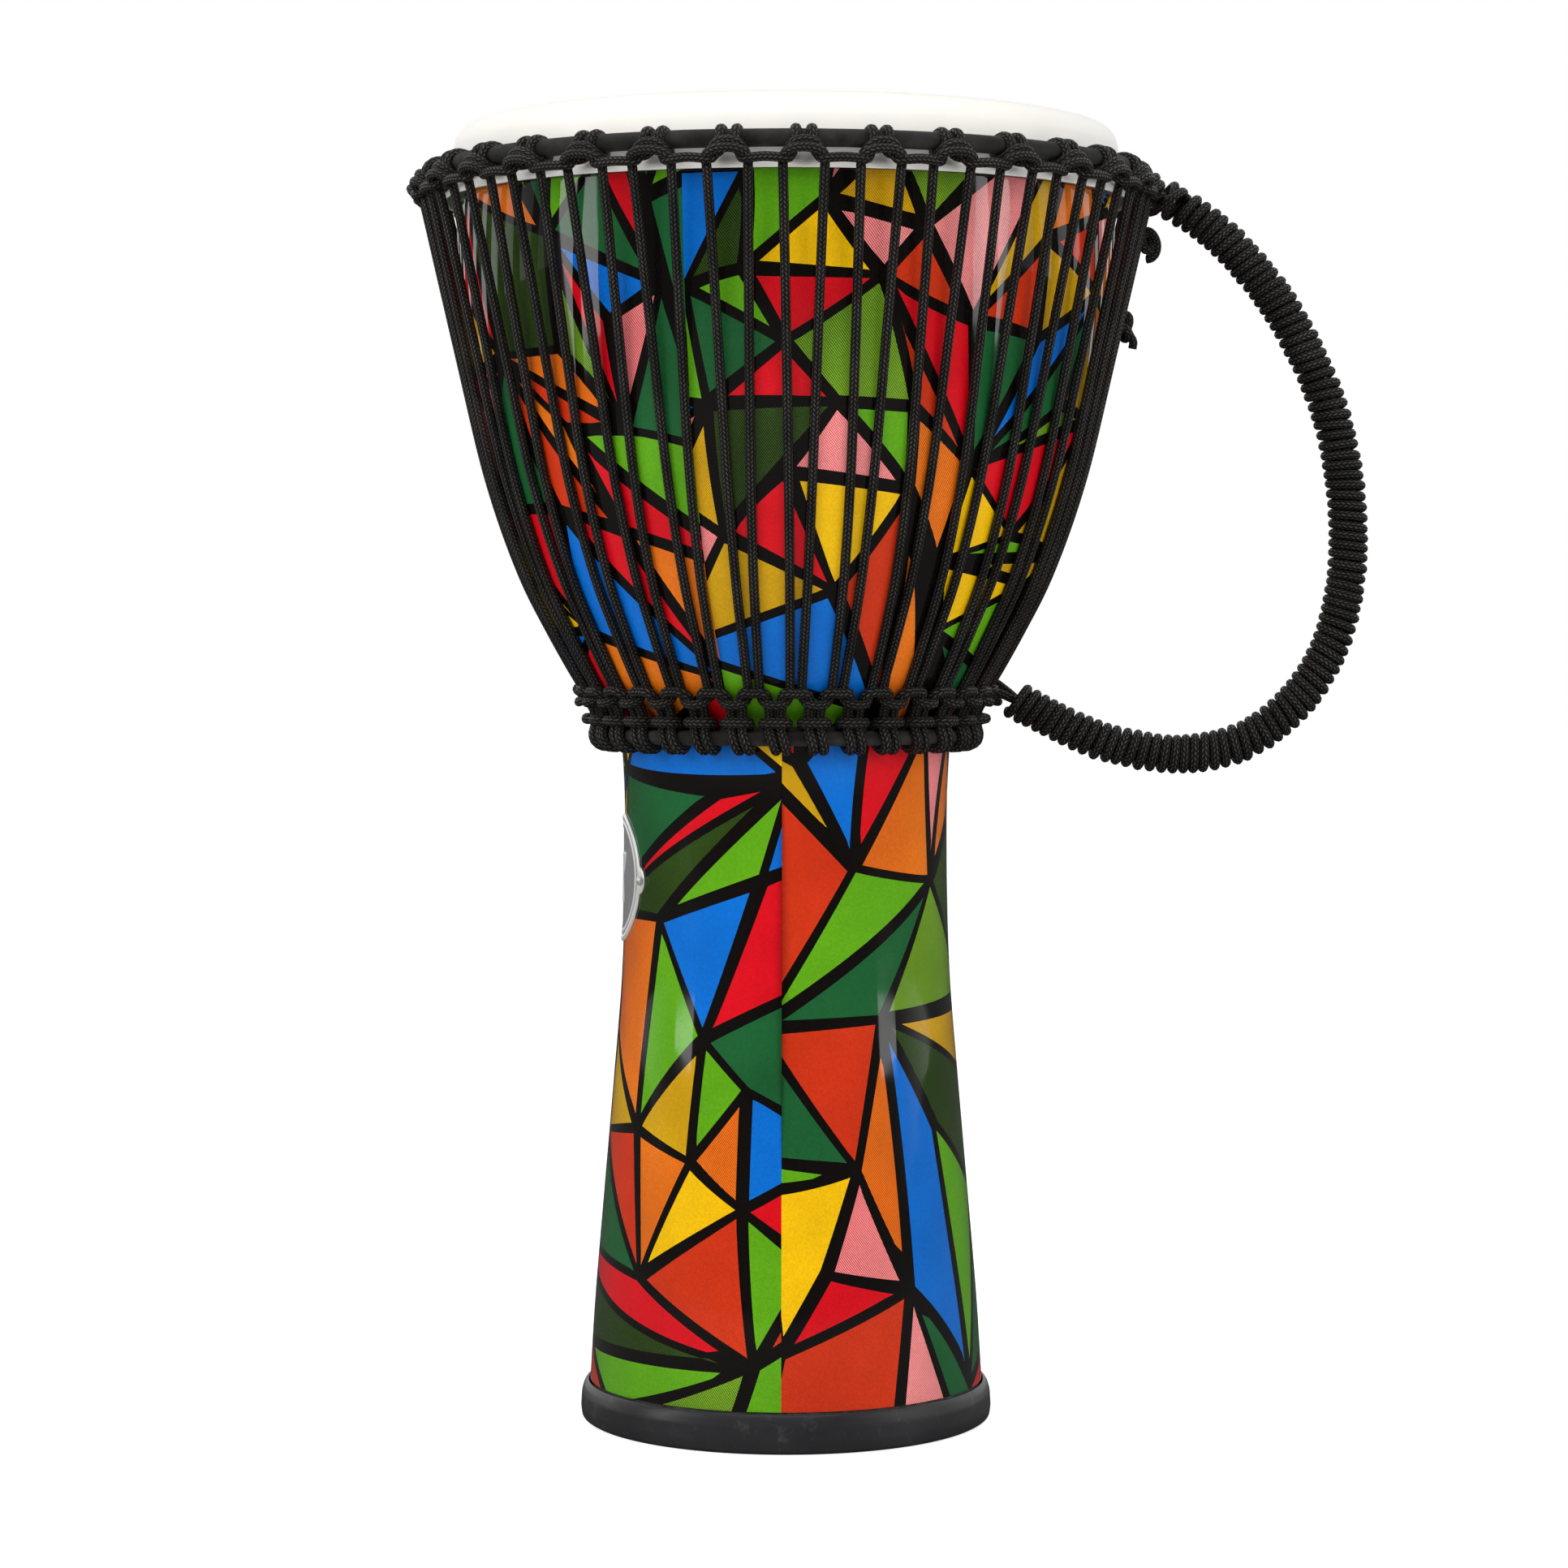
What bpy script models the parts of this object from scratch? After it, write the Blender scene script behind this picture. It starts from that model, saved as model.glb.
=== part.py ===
"""Rope-tuned djembe with a wound carrying handle: one named object for each physical piece.

Metres, +Z up. The drum stands on its rubber foot at Z = 0. Angles are turned about the drum's own
axis, from -Y towards +X, and the handle hangs at +X. Lists of (radius, height) are outlines or
stations that are turned or laced about that axis.
"""

import math

import bmesh
import bpy
from mathutils import Vector

# Overall sizes
HANDLE_REACH = 0.2808
LACING_REACH = 0.1815
AXIS_X = (LACING_REACH - HANDLE_REACH) / 2
TURNED_SIDES = 32
CLEARANCE = 0.0003

# Shell: one fibreglass goblet, open at both ends
WALL = 0.0055
STEM_STATIONS = (
    (0.0935, 0.0055),
    (0.0905, 0.055),
    (0.0866, 0.102),
    (0.0813, 0.164),
    (0.0776, 0.211),
    (0.0762, 0.257),
    (0.0766, 0.305),
    (0.0782, 0.330),
)
BOWL_STATIONS = (
    (0.0920, 0.3455),
    (0.1045, 0.3666),
    (0.1210, 0.398),
    (0.1328, 0.429),
    (0.1420, 0.460),
    (0.1490, 0.500),
    (0.1545, 0.540),
    (0.1570, 0.580),
    (0.1568, 0.604),
)
BEARING_EDGE = ((0.1546, 0.6104), (0.1530, 0.6116), (0.1516, 0.6104))
SKIN = 0.0006
STEM_SKIN_SPAN = (0.0192, 0.3275)
BOWL_SKIN_SPAN = (0.3315, 0.574)

# Foot, head and flesh hoop, turned outlines
FOOT_OUTLINE = (
    (0.0840, 0.0),
    (0.0938, 0.0),
    (0.0979, 0.0050),
    (0.0974, 0.0130),
    (0.0952, 0.0182),
    (0.0941, 0.0182),
    (0.0941, 0.0050),
    (0.0872, 0.0050),
    (0.0872, 0.0120),
    (0.0840, 0.0120),
)
HEAD_TOP = 0.615
FILM = 0.0014
HEAD_OUTLINE = (
    (0.0, HEAD_TOP),
    (0.1495, HEAD_TOP),
    (0.1560, HEAD_TOP - 0.0026),
    (0.1587, HEAD_TOP - 0.0100),
    (0.1587, 0.5876),
    (0.1598, 0.5852),
    (0.1634, 0.5826),
    (0.1640, 0.5790),
    (0.1628, 0.5790),
    (0.1623, 0.5818),
    (0.1586, 0.5845),
    (0.1573, 0.5876),
    (0.1573, HEAD_TOP - 0.0100),
    (0.1550, HEAD_TOP - 0.0020 - FILM / 2),
    (0.1490, HEAD_TOP - FILM),
    (0.0, HEAD_TOP - FILM),
)
HOOP_OUTLINE = ((0.1582, 0.5795), (0.1620, 0.5795), (0.1617, 0.5814), (0.1584, 0.5838))

# Steel rings in their cloth sleeves
RING_SLIT = 15.0
SLEEVE_CORNERS = 8
STEEL_CORNERS = 6
CROWN = {"radius": 0.1679, "height": 0.5915, "steel": 0.0035, "sleeve": 0.0043, "sides": 40}
BASE = {"radius": 0.0875, "height": 0.3262, "steel": 0.0028, "sleeve": 0.0037, "sides": 32}

# Lacing: one hitch over each ring for each of the 32 loops
HITCHES = 32
PITCH = 360.0 / HITCHES
ROPE = 0.0022
ROPE_GAP = 0.0002
TURN_STEPS = 5
CROWN_TURN = {"start": -30, "end": 270, "half_width": 1.25}
BASE_TURN = {"start": 30, "end": -270, "half_width": 1.5}
CROWN_LOOP = ((2.4, 0.1772, 0.5806),)
BASE_LOOP = ((2.0, 0.1013, 0.3478), (1.42, 0.0942, 0.3420))
HANDLE_PULL_TOP = 0.0025
HANDLE_PULL_BOTTOM = 0.0045

# Tension rope, given for one side of a crown hitch and mirrored to the other
UPPER_BIGHT = ((2.2, 0.1793, 0.5883), (3.5, 0.1746, 0.5870))
LEG_TOP = (4.2, 0.1712, 0.5770)
LEG_FOOT_ANGLE = 1.5
LEG_HEIGHTS = (0.460, 0.429, 0.398, 0.3666, 0.3462)
LEG_STANDOFF = 0.0034
LOWER_BIGHT = ((1.75, 0.0974, 0.3384), (3.2, 0.1022, 0.3356))

# Handle: a rope core, its winding, and the cord eyes that tie it to the lacing
TIE_RADIUS = 0.0049
TIE_CORD = 0.0020
UPPER_TIE = (CROWN_LOOP[0][1] + HANDLE_PULL_TOP, CROWN_LOOP[0][2])
LOWER_TIE = (LOWER_BIGHT[1][1] + HANDLE_PULL_BOTTOM, LOWER_BIGHT[1][2])
CORE = 0.0046
WINDING = 0.0095
WINDING_STARTS_AT = 0.006
WINDING_CORNERS = 8
HANDLE_ROUTE = (
    (0.1874, 0.5782),
    (0.1990, 0.5702),
    (0.2130, 0.5580),
    (0.2321, 0.5350),
    (0.2456, 0.5120),
    (0.2552, 0.4909),
    (0.2617, 0.4704),
    (0.2664, 0.4440),
    (0.2678, 0.4170),
    (0.2656, 0.3924),
    (0.2581, 0.3656),
    (0.2419, 0.3407),
    (0.2172, 0.3225),
    (0.1866, 0.3166),
    (0.1561, 0.3215),
    (0.1350, 0.3300),
    (0.1215, 0.3352),
    (0.1138, 0.3365),
)
ROUTE_STEPS = 2

# Rope-end knots and badge
KNOT_SIZE = (0.0052, 0.0052, 0.0080)
ROPE_END_KNOTS = (
    # name, angle, radius, height
    ("upper_rope_end_knot", 93.0, 0.1765, 0.561),
    ("lower_rope_end_knot", 92.0, 0.1672, 0.520),
)
BADGE_ANGLE = -81.5
BADGE_HEIGHT = 0.258
BADGE_RADIUS = 0.0305
BADGE_EAR = 0.0040
# How near to the horizontal the ears start, as a squared cosine
EAR_WIDTH = 0.94
# The badge's face from the middle out and round its edge, as (share of the radius, share of the thickness)
BADGE_BANDS = (
    (0.33, 0.0),
    (0.67, 0.0),
    (1.0, 0.0),
    (1.0, 0.6),
    (0.94, 1.0),
    (0.84, 1.0),
    (0.80, 0.7),
    (0.42, 0.7),
)
BADGE_THICKNESS = 0.0013
BADGE_SIDES = 32
BADGE_SEAT = 0.0004
NAIL_RADIUS = 0.0021
NAIL_SIDES = 10
NAIL_HEIGHT = 0.0012

COLOURS = {
    "black_rope": ((0.018, 0.017, 0.016), 0.75, 0.0),
    "black_cloth": ((0.015, 0.014, 0.014), 0.85, 0.0),
    "steel": ((0.55, 0.55, 0.56), 0.35, 1.0),
    "nickel": ((0.72, 0.72, 0.70), 0.25, 1.0),
    "fibreglass": ((0.030, 0.030, 0.032), 0.55, 0.0),
    "printed_cloth": ((0.62, 0.13, 0.03), 0.25, 0.0),
    "white_film": ((0.86, 0.84, 0.80), 0.45, 0.0),
    "black_rubber": ((0.022, 0.022, 0.024), 0.50, 0.0),
}


def clear_scene():
    for old in list(bpy.data.objects):
        bpy.data.objects.remove(old, do_unlink=True)


def material(name):
    """One Principled material for each finish, made once."""
    found = bpy.data.materials.get(name)
    if found:
        return found
    colour, roughness, metallic = COLOURS[name]
    made = bpy.data.materials.new(name)
    made.use_nodes = True
    shader = made.node_tree.nodes["Principled BSDF"]
    shader.inputs["Base Color"].default_value = (*colour, 1.0)
    shader.inputs["Roughness"].default_value = roughness
    shader.inputs["Metallic"].default_value = metallic
    made.diffuse_color = (*colour, 1.0)
    return made


def add_empty(name, location):
    empty = bpy.data.objects.new(name, None)
    empty.location = location
    bpy.context.scene.collection.objects.link(empty)
    return empty


def place(name, data, finish, parent):
    """Puts mesh or curve data into the scene under its parent empty."""
    data.materials.append(material(finish))
    obj = bpy.data.objects.new(name, data)
    obj.parent = parent
    bpy.context.scene.collection.objects.link(obj)
    return obj


def mesh_from(name, shape):
    bmesh.ops.recalc_face_normals(shape, faces=shape.faces)
    mesh = bpy.data.meshes.new(name)
    shape.to_mesh(mesh)
    shape.free()
    mesh.shade_smooth()
    mesh.set_sharp_from_angle(angle=math.radians(35))
    return mesh


def around(angle, radius, height):
    """A point about the drum's axis: angle in degrees from -Y towards +X."""
    turn = math.radians(angle)
    return Vector((radius * math.sin(turn), -radius * math.cos(turn), height))


def turned(name, outline, finish, parent, sides=TURNED_SIDES):
    """A closed (radius, height) outline turned about the axis; a first and last radius of 0 close on it."""
    shape = bmesh.new()
    solid = outline[0][0] == 0
    rims = outline[1:-1] if solid else outline
    columns = []
    for side in range(sides):
        angle = 360.0 * side / sides
        columns.append([shape.verts.new(around(angle, *point)) for point in rims])
    for side, column in enumerate(columns):
        following = columns[(side + 1) % sides]
        for index in range(len(rims) - solid):
            ahead = (index + 1) % len(rims)
            shape.faces.new((column[index], following[index], following[ahead], column[ahead]))
    if solid:
        for end, rim in ((outline[0], 0), (outline[-1], -1)):
            centre = shape.verts.new((0, 0, end[1]))
            for side, column in enumerate(columns):
                shape.faces.new((centre, column[rim], columns[(side + 1) % sides][rim]))
    return place(name, mesh_from(name, shape), finish, parent)


def tube(name, points, radius, finish, parent, closed=False, resolution=0):
    """A round bar or rope along a polyline."""
    curve = bpy.data.curves.new(name, "CURVE")
    curve.dimensions = "3D"
    curve.bevel_depth = radius
    curve.bevel_resolution = resolution
    curve.use_fill_caps = True
    spline = curve.splines.new("POLY")
    spline.points.add(len(points) - 1)
    for target, point in zip(spline.points, points):
        target.co = (*point, 1.0)
    spline.use_cyclic_u = closed
    return place(name, curve, finish, parent)


def shell_radius(height):
    """The shell's outer radius at a height, read between its stations."""
    stations = STEM_STATIONS + BOWL_STATIONS
    for (low_radius, low), (high_radius, high) in zip(stations, stations[1:]):
        if height <= high:
            share = (height - low) / (high - low)
            return low_radius + share * (high_radius - low_radius)
    return stations[-1][0]


def make_shell(parent):
    outside = STEM_STATIONS + BOWL_STATIONS
    inside = [(radius - WALL, height) for radius, height in reversed(outside[:-1])]
    del inside[1::2]
    inside.append((STEM_STATIONS[0][0] - WALL, STEM_STATIONS[0][1]))
    turned("shell", list(outside) + list(BEARING_EDGE) + inside, "fibreglass", parent)


def make_skin(name, span, parent):
    """A printed cloth wrap that follows the shell's outside over a span of heights."""
    stations = [height for _, height in STEM_STATIONS + BOWL_STATIONS if span[0] < height < span[1]]
    heights = [span[0], *stations, span[1]]
    inner = [(shell_radius(height) + CLEARANCE, height) for height in heights]
    outer = [(radius + SKIN, height) for radius, height in reversed(inner)]
    turned(name, inner + outer, "printed_cloth", parent)


def make_ring(name, ring, parent):
    """A steel ring and its cloth sleeve, whose seam is the slit on the lower inner side."""
    middle = Vector((ring["radius"], ring["height"]))
    steel = []
    for corner in range(STEEL_CORNERS):
        turn = math.radians(360.0 * corner / STEEL_CORNERS)
        steel.append(middle + ring["steel"] * Vector((math.cos(turn), math.sin(turn))))
    turned(name, [tuple(point) for point in steel], "steel", parent, ring["sides"])
    outer, inner = [], []
    for corner in range(SLEEVE_CORNERS):
        share = corner / (SLEEVE_CORNERS - 1)
        turn = math.radians(-135 + RING_SLIT + share * (360 - 2 * RING_SLIT))
        spoke = Vector((math.cos(turn), math.sin(turn)))
        outer.append(middle + ring["sleeve"] * spoke)
        inner.append(middle + (ring["steel"] + 1.25 * CLEARANCE) * spoke)
    outline = [tuple(point) for point in outer + inner[::-1]]
    turned(name + "_sleeve", outline, "black_cloth", parent, ring["sides"])


def ring_turn(ring, turn, centre):
    """One turn of rope around a ring, drifting sideways from one edge of the hitch to the other."""
    step_angle = math.radians(turn["end"] - turn["start"]) / TURN_STEPS
    reach = (ring["sleeve"] + ROPE + ROPE_GAP) / math.cos(step_angle / 2)
    points = []
    for step in range(TURN_STEPS + 1):
        share = step / TURN_STEPS
        bend = math.radians(turn["start"] + share * (turn["end"] - turn["start"]))
        angle = centre + (2 * share - 1) * turn["half_width"]
        radius = ring["radius"] + reach * math.cos(bend)
        points.append(around(angle, radius, ring["height"] + reach * math.sin(bend)))
    return points


def make_loop_rope(name, ring, turn, loop, first, pulls, parent):
    """The rope hitched around a ring: a turn at each hitch, and a hanging loop between hitches."""
    _, reach, level = loop[0]
    route = []
    for hitch in range(HITCHES):
        centre = (hitch + first) * PITCH
        middle = centre - PITCH / 2
        route.append(around(middle, reach + pulls.get(middle, 0.0), level))
        route += [around(centre - angle, radius, height) for angle, radius, height in loop]
        route += ring_turn(ring, turn, centre)
        route += [around(centre + angle, radius, height) for angle, radius, height in reversed(loop)]
    tube(name, route, ROPE, "black_rope", parent, closed=True)


def tension_leg():
    """One leg below a crown hitch, from its top to its foot, with the angle from the hitch."""
    stations = [LEG_TOP]
    top, foot = LEG_TOP[2], LEG_HEIGHTS[-1]
    for height in LEG_HEIGHTS:
        share = (top - height) / (top - foot)
        angle = LEG_TOP[0] + share * (LEG_FOOT_ANGLE - LEG_TOP[0])
        stations.append((angle, shell_radius(height) + LEG_STANDOFF, height))
    return stations


def make_tension_rope(parent):
    """One long rope: up behind a crown loop, across the hitch, down, and across the next base hitch."""
    side = [*UPPER_BIGHT, *tension_leg(), LOWER_BIGHT[0]]
    route = []
    for hitch in range(HITCHES):
        centre = (hitch + 0.5) * PITCH
        route += [around(centre - angle, radius, height) for angle, radius, height in reversed(side)]
        route += [around(centre + angle, radius, height) for angle, radius, height in side]
        below = centre + PITCH / 2
        pull = HANDLE_PULL_BOTTOM if below == 90.0 else 0.0
        angle, radius, height = LOWER_BIGHT[1]
        reach = PITCH / 2 - angle
        route.append(around(below - reach, radius + pull, height))
        route.append(around(below + reach, radius + pull, height))
    tube("tension_rope", route, ROPE, "black_rope", parent, closed=True)


def smooth_route(stations, steps):
    """Points on a Catmull-Rom curve through the stations."""
    ends = [2 * stations[0] - stations[1], *stations, 2 * stations[-1] - stations[-2]]
    points = []
    for before, start, end, after in zip(ends, ends[1:], ends[2:], ends[3:]):
        for step in range(steps):
            t = step / steps
            points.append(
                start
                + 0.5 * t * (end - before)
                + t * t * (before - 2.5 * start + 2 * end - 0.5 * after)
                + t * t * t * (1.5 * start - 1.5 * end + 0.5 * after - 0.5 * before)
            )
    points.append(stations[-1])
    return points


def trimmed(points, length):
    """The polyline without the given length at each end."""
    for _ in range(2):
        left = length
        while (points[1] - points[0]).length < left:
            left -= (points[1] - points[0]).length
            points = points[1:]
        points = [points[0].lerp(points[1], left / (points[1] - points[0]).length), *points[1:]]
        points = points[::-1]
    return points


def make_winding(name, route, inner, outer, corners, parent):
    """A hollow sleeve along a route in the XZ plane, open at both ends."""
    shape = bmesh.new()
    rims = []
    for index, point in enumerate(route):
        ahead = route[min(index + 1, len(route) - 1)] - route[max(index - 1, 0)]
        sideways = Vector((0, 1, 0))
        upright = ahead.normalized().cross(sideways)
        rim = []
        for radius in (outer, inner):
            for corner in range(corners):
                turn = 2 * math.pi * corner / corners
                spoke = math.cos(turn) * upright + math.sin(turn) * sideways
                rim.append(shape.verts.new(point + radius * spoke))
        rims.append(rim)
    for first, second in zip(rims, rims[1:]):
        for start in (0, corners):
            for corner in range(corners):
                ahead = start + (corner + 1) % corners
                here = start + corner
                shape.faces.new((first[here], first[ahead], second[ahead], second[here]))
    for rim in (rims[0], rims[-1]):
        for corner in range(corners):
            ahead = (corner + 1) % corners
            shape.faces.new((rim[corner], rim[ahead], rim[corners + ahead], rim[corners + corner]))
    return place(name, mesh_from(name, shape), "black_rope", parent)


def make_handle(pivot):
    offset = Vector((UPPER_TIE[0], 0, UPPER_TIE[1]))
    stations = [Vector((radius, 0, height)) - offset for radius, height in HANDLE_ROUTE]
    route = smooth_route(stations, ROUTE_STEPS)
    tube("handle_core", route, CORE, "black_rope", pivot, resolution=1)
    wound = trimmed(route, WINDING_STARTS_AT)
    bore = (CORE + 2 * CLEARANCE) / math.cos(math.pi / WINDING_CORNERS)
    make_winding("handle_winding", wound, bore, WINDING, WINDING_CORNERS, pivot)


def make_tie(name, place_at, parent):
    """A cord eye around the lacing, in the handle's plane."""
    points = []
    corners = 12
    for corner in range(corners):
        turn = 2 * math.pi * corner / corners
        reach = TIE_RADIUS * Vector((math.cos(turn), 0, math.sin(turn)))
        points.append(Vector((place_at[0], 0, place_at[1])) + reach)
    tube(name, points, TIE_CORD, "black_rope", parent, closed=True, resolution=1)


def make_rope_end_knot(name, angle, radius, height, parent):
    """The outer shape of a stopper knot."""
    shape = bmesh.new()
    bmesh.ops.create_icosphere(shape, subdivisions=2, radius=1.0)
    for vert in shape.verts:
        vert.co = Vector(size * share for size, share in zip(KNOT_SIZE, vert.co))
    knot = place(name, mesh_from(name, shape), "black_rope", parent)
    knot.location = around(angle, radius, height)
    knot.rotation_euler = (0, 0, math.radians(angle))


def badge_plane(across, up, out):
    """A point on the bent badge: across and up along its face, out from the stem's skin."""
    seat = shell_radius(BADGE_HEIGHT + up) + 2 * CLEARANCE + SKIN + BADGE_SEAT
    return around(BADGE_ANGLE + math.degrees(across / seat), seat + out, BADGE_HEIGHT + up)


def badge_rim(turn):
    """The badge's edge: a circle with an ear on each side at mid-height."""
    ear = max(0.0, math.cos(turn) ** 2 - EAR_WIDTH) / (1 - EAR_WIDTH)
    return BADGE_RADIUS + BADGE_EAR * ear


def make_badge(parent):
    """A thin round plate bent to the stem, with a raised border."""
    shape = bmesh.new()
    rims = []
    for share, thick in BADGE_BANDS:
        rim = []
        for side in range(BADGE_SIDES):
            turn = 2 * math.pi * side / BADGE_SIDES
            reach = badge_rim(turn) * share
            out = BADGE_THICKNESS * thick
            rim.append(shape.verts.new(badge_plane(reach * math.cos(turn), reach * math.sin(turn), out)))
        rims.append(rim)
    for first, second in zip(rims, rims[1:]):
        for side in range(BADGE_SIDES):
            ahead = (side + 1) % BADGE_SIDES
            shape.faces.new((first[side], first[ahead], second[ahead], second[side]))
    for rim, out in ((rims[0], 0.0), (rims[-1], BADGE_THICKNESS * 0.7)):
        centre = shape.verts.new(badge_plane(0, 0, out))
        for side in range(BADGE_SIDES):
            shape.faces.new((centre, rim[side], rim[(side + 1) % BADGE_SIDES]))
    place("badge", mesh_from("badge", shape), "nickel", parent)


def make_badge_nail(name, side, parent):
    """A domed nail head on one of the badge's ears."""
    shape = bmesh.new()
    across = side * (BADGE_RADIUS + BADGE_EAR - NAIL_RADIUS)
    rims = []
    for share, out in ((1.0, 0.0), (1.0, 0.4), (0.55, 0.9)):
        rim = []
        for corner in range(NAIL_SIDES):
            turn = 2 * math.pi * corner / NAIL_SIDES
            reach = NAIL_RADIUS * share
            height = BADGE_THICKNESS + CLEARANCE + NAIL_HEIGHT * out
            spot = badge_plane(across + reach * math.cos(turn), reach * math.sin(turn), height)
            rim.append(shape.verts.new(spot))
        rims.append(rim)
    for first, second in zip(rims, rims[1:]):
        for corner in range(NAIL_SIDES):
            ahead = (corner + 1) % NAIL_SIDES
            shape.faces.new((first[corner], first[ahead], second[ahead], second[corner]))
    shape.faces.new(rims[0])
    shape.faces.new(rims[-1])
    place(name, mesh_from(name, shape), "nickel", parent)


def main():
    clear_scene()
    axis = add_empty("drum_axis", (AXIS_X, 0, 0))
    pivot = add_empty("handle_pivot", (AXIS_X + UPPER_TIE[0], 0, UPPER_TIE[1]))
    make_shell(axis)
    make_skin("stem_fabric", STEM_SKIN_SPAN, axis)
    make_skin("bowl_fabric", BOWL_SKIN_SPAN, axis)
    turned("foot_ring", FOOT_OUTLINE, "black_rubber", axis)
    turned("drum_head", HEAD_OUTLINE, "white_film", axis)
    turned("flesh_hoop", HOOP_OUTLINE, "steel", axis)
    make_ring("crown_ring", CROWN, axis)
    make_ring("base_ring", BASE, axis)
    crown_pull = {90.0: HANDLE_PULL_TOP}
    make_loop_rope("crown_loop_rope", CROWN, CROWN_TURN, CROWN_LOOP, 0.5, crown_pull, axis)
    make_loop_rope("base_loop_rope", BASE, BASE_TURN, BASE_LOOP, 0.0, {}, axis)
    make_tension_rope(axis)
    make_tie("handle_upper_tie", UPPER_TIE, axis)
    make_tie("handle_lower_tie", LOWER_TIE, axis)
    make_handle(pivot)
    for name, angle, radius, height in ROPE_END_KNOTS:
        make_rope_end_knot(name, angle, radius, height, axis)
    make_badge(axis)
    make_badge_nail("left_badge_nail", -1, axis)
    make_badge_nail("right_badge_nail", 1, axis)


main()
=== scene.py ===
"""Looks for the rope-tuned djembe: printed cloth, braided lacing, a wound handle, head, foot and badge.

Angles are turned about the drum's own axis, from -Y towards +X, in degrees. Rope routes beside a ring are
lists of (arc along the ring, radius, height) or (arc, reach from the ring's centre, bend around it).
"""

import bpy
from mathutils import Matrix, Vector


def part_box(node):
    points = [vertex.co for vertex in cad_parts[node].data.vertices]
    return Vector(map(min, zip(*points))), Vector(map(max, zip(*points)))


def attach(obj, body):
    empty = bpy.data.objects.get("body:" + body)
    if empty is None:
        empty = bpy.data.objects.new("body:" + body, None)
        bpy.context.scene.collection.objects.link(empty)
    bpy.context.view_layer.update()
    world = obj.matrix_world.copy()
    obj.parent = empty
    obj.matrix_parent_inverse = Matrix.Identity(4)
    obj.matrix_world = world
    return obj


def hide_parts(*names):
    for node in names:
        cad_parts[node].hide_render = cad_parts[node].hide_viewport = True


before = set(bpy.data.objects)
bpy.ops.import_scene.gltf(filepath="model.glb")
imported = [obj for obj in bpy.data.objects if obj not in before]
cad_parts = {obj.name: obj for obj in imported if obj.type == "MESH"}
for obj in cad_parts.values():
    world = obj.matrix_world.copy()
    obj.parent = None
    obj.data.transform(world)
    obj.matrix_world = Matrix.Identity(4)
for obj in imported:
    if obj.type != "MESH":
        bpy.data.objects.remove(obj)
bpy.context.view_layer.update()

import math
import random

import bmesh
import bpy
import numpy as np
from mathutils import Vector
from mathutils.geometry import delaunay_2d_cdt

MM = 0.001
TURN = 2 * math.pi

# ---------------------------------------------------------------- places taken from the frame
SHELL_LOW, SHELL_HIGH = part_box("shell")
AXIS_X = (SHELL_LOW.x + SHELL_HIGH.x) / 2
AXIS = Vector((AXIS_X, 0, 0))
HEAD_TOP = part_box("drum_head")[1].z


def ring_of(node):
    """Centre radius, centre height and bar radius of a ring that is turned about the drum's axis."""
    points = np.array([vertex.co[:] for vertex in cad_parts[node].data.vertices])
    radii = np.hypot(points[:, 0] - AXIS_X, points[:, 1])
    middle = (radii.max() + radii.min()) / 2
    level = (points[:, 2].max() + points[:, 2].min()) / 2
    return middle, level, (radii.max() - radii.min()) / 2


def outline_of(node):
    """The (height, outer radius) stations of a turned CAD node."""
    found = {}
    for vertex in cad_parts[node].data.vertices:
        height = round(vertex.co.z, 5)
        radius = math.hypot(vertex.co.x - AXIS_X, vertex.co.y)
        found[height] = max(found.get(height, 0.0), radius)
    return sorted(found.items())


# ---------------------------------------------------------------- small geometry helpers
LONG_SPAN = 12
LONG_SPAN_SHARE = 4
CORNER_REACH = 0.45


def around(angle, radius, height):
    turn = math.radians(angle)
    return Vector((AXIS_X + radius * math.sin(turn), -radius * math.cos(turn), height))


def bearing(spot):
    """The angle about the drum's axis at which a point lies."""
    return math.degrees(math.atan2(spot.x - AXIS_X, -spot.y))


def pairs(ring):
    """Each item of a closed ring, with the next one."""
    return zip(ring, ring[1:] + ring[:1])


def hermite(stations, at):
    """A smooth curve through (place, value) stations, read at one place or an array of places."""
    places = np.array([station[0] for station in stations])
    values = np.array([station[1] for station in stations])
    slopes = np.gradient(values, places)
    index = np.clip(np.searchsorted(places, at) - 1, 0, len(places) - 2)
    span = places[index + 1] - places[index]
    t = (at - places[index]) / span
    start = values[index] * (1 + 2 * t) * (1 - t) ** 2 + slopes[index] * span * t * (1 - t) ** 2
    end = values[index + 1] * t * t * (3 - 2 * t) + slopes[index + 1] * span * t * t * (t - 1)
    return start + end


def smooth_route(points, step, closed=False):
    """Points on a Catmull-Rom curve through the given ones, a step apart, and fewer on long spans."""
    points = [Vector(point) for point in points]
    if closed:
        ends = [points[-1], *points, points[0], points[1]]
    else:
        ends = [2 * points[0] - points[1], *points, 2 * points[-1] - points[-2]]
    found = []
    for before, start, end, after in zip(ends, ends[1:], ends[2:], ends[3:]):
        parts = max(1, round((end - start).length / step))
        first, last = (end - before) / 2, (after - start) / 2
        if (end - start).length > LONG_SPAN * step:
            parts = max(LONG_SPAN_SHARE, parts // LONG_SPAN_SHARE)
        for part in range(parts):
            t = part / parts
            found.append(
                (1 + 2 * t) * (1 - t) ** 2 * start
                + t * (1 - t) ** 2 * first
                + t * t * (3 - 2 * t) * end
                + t * t * (t - 1) * last
            )
    if not closed:
        found.append(points[-1])
    return found


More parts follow.
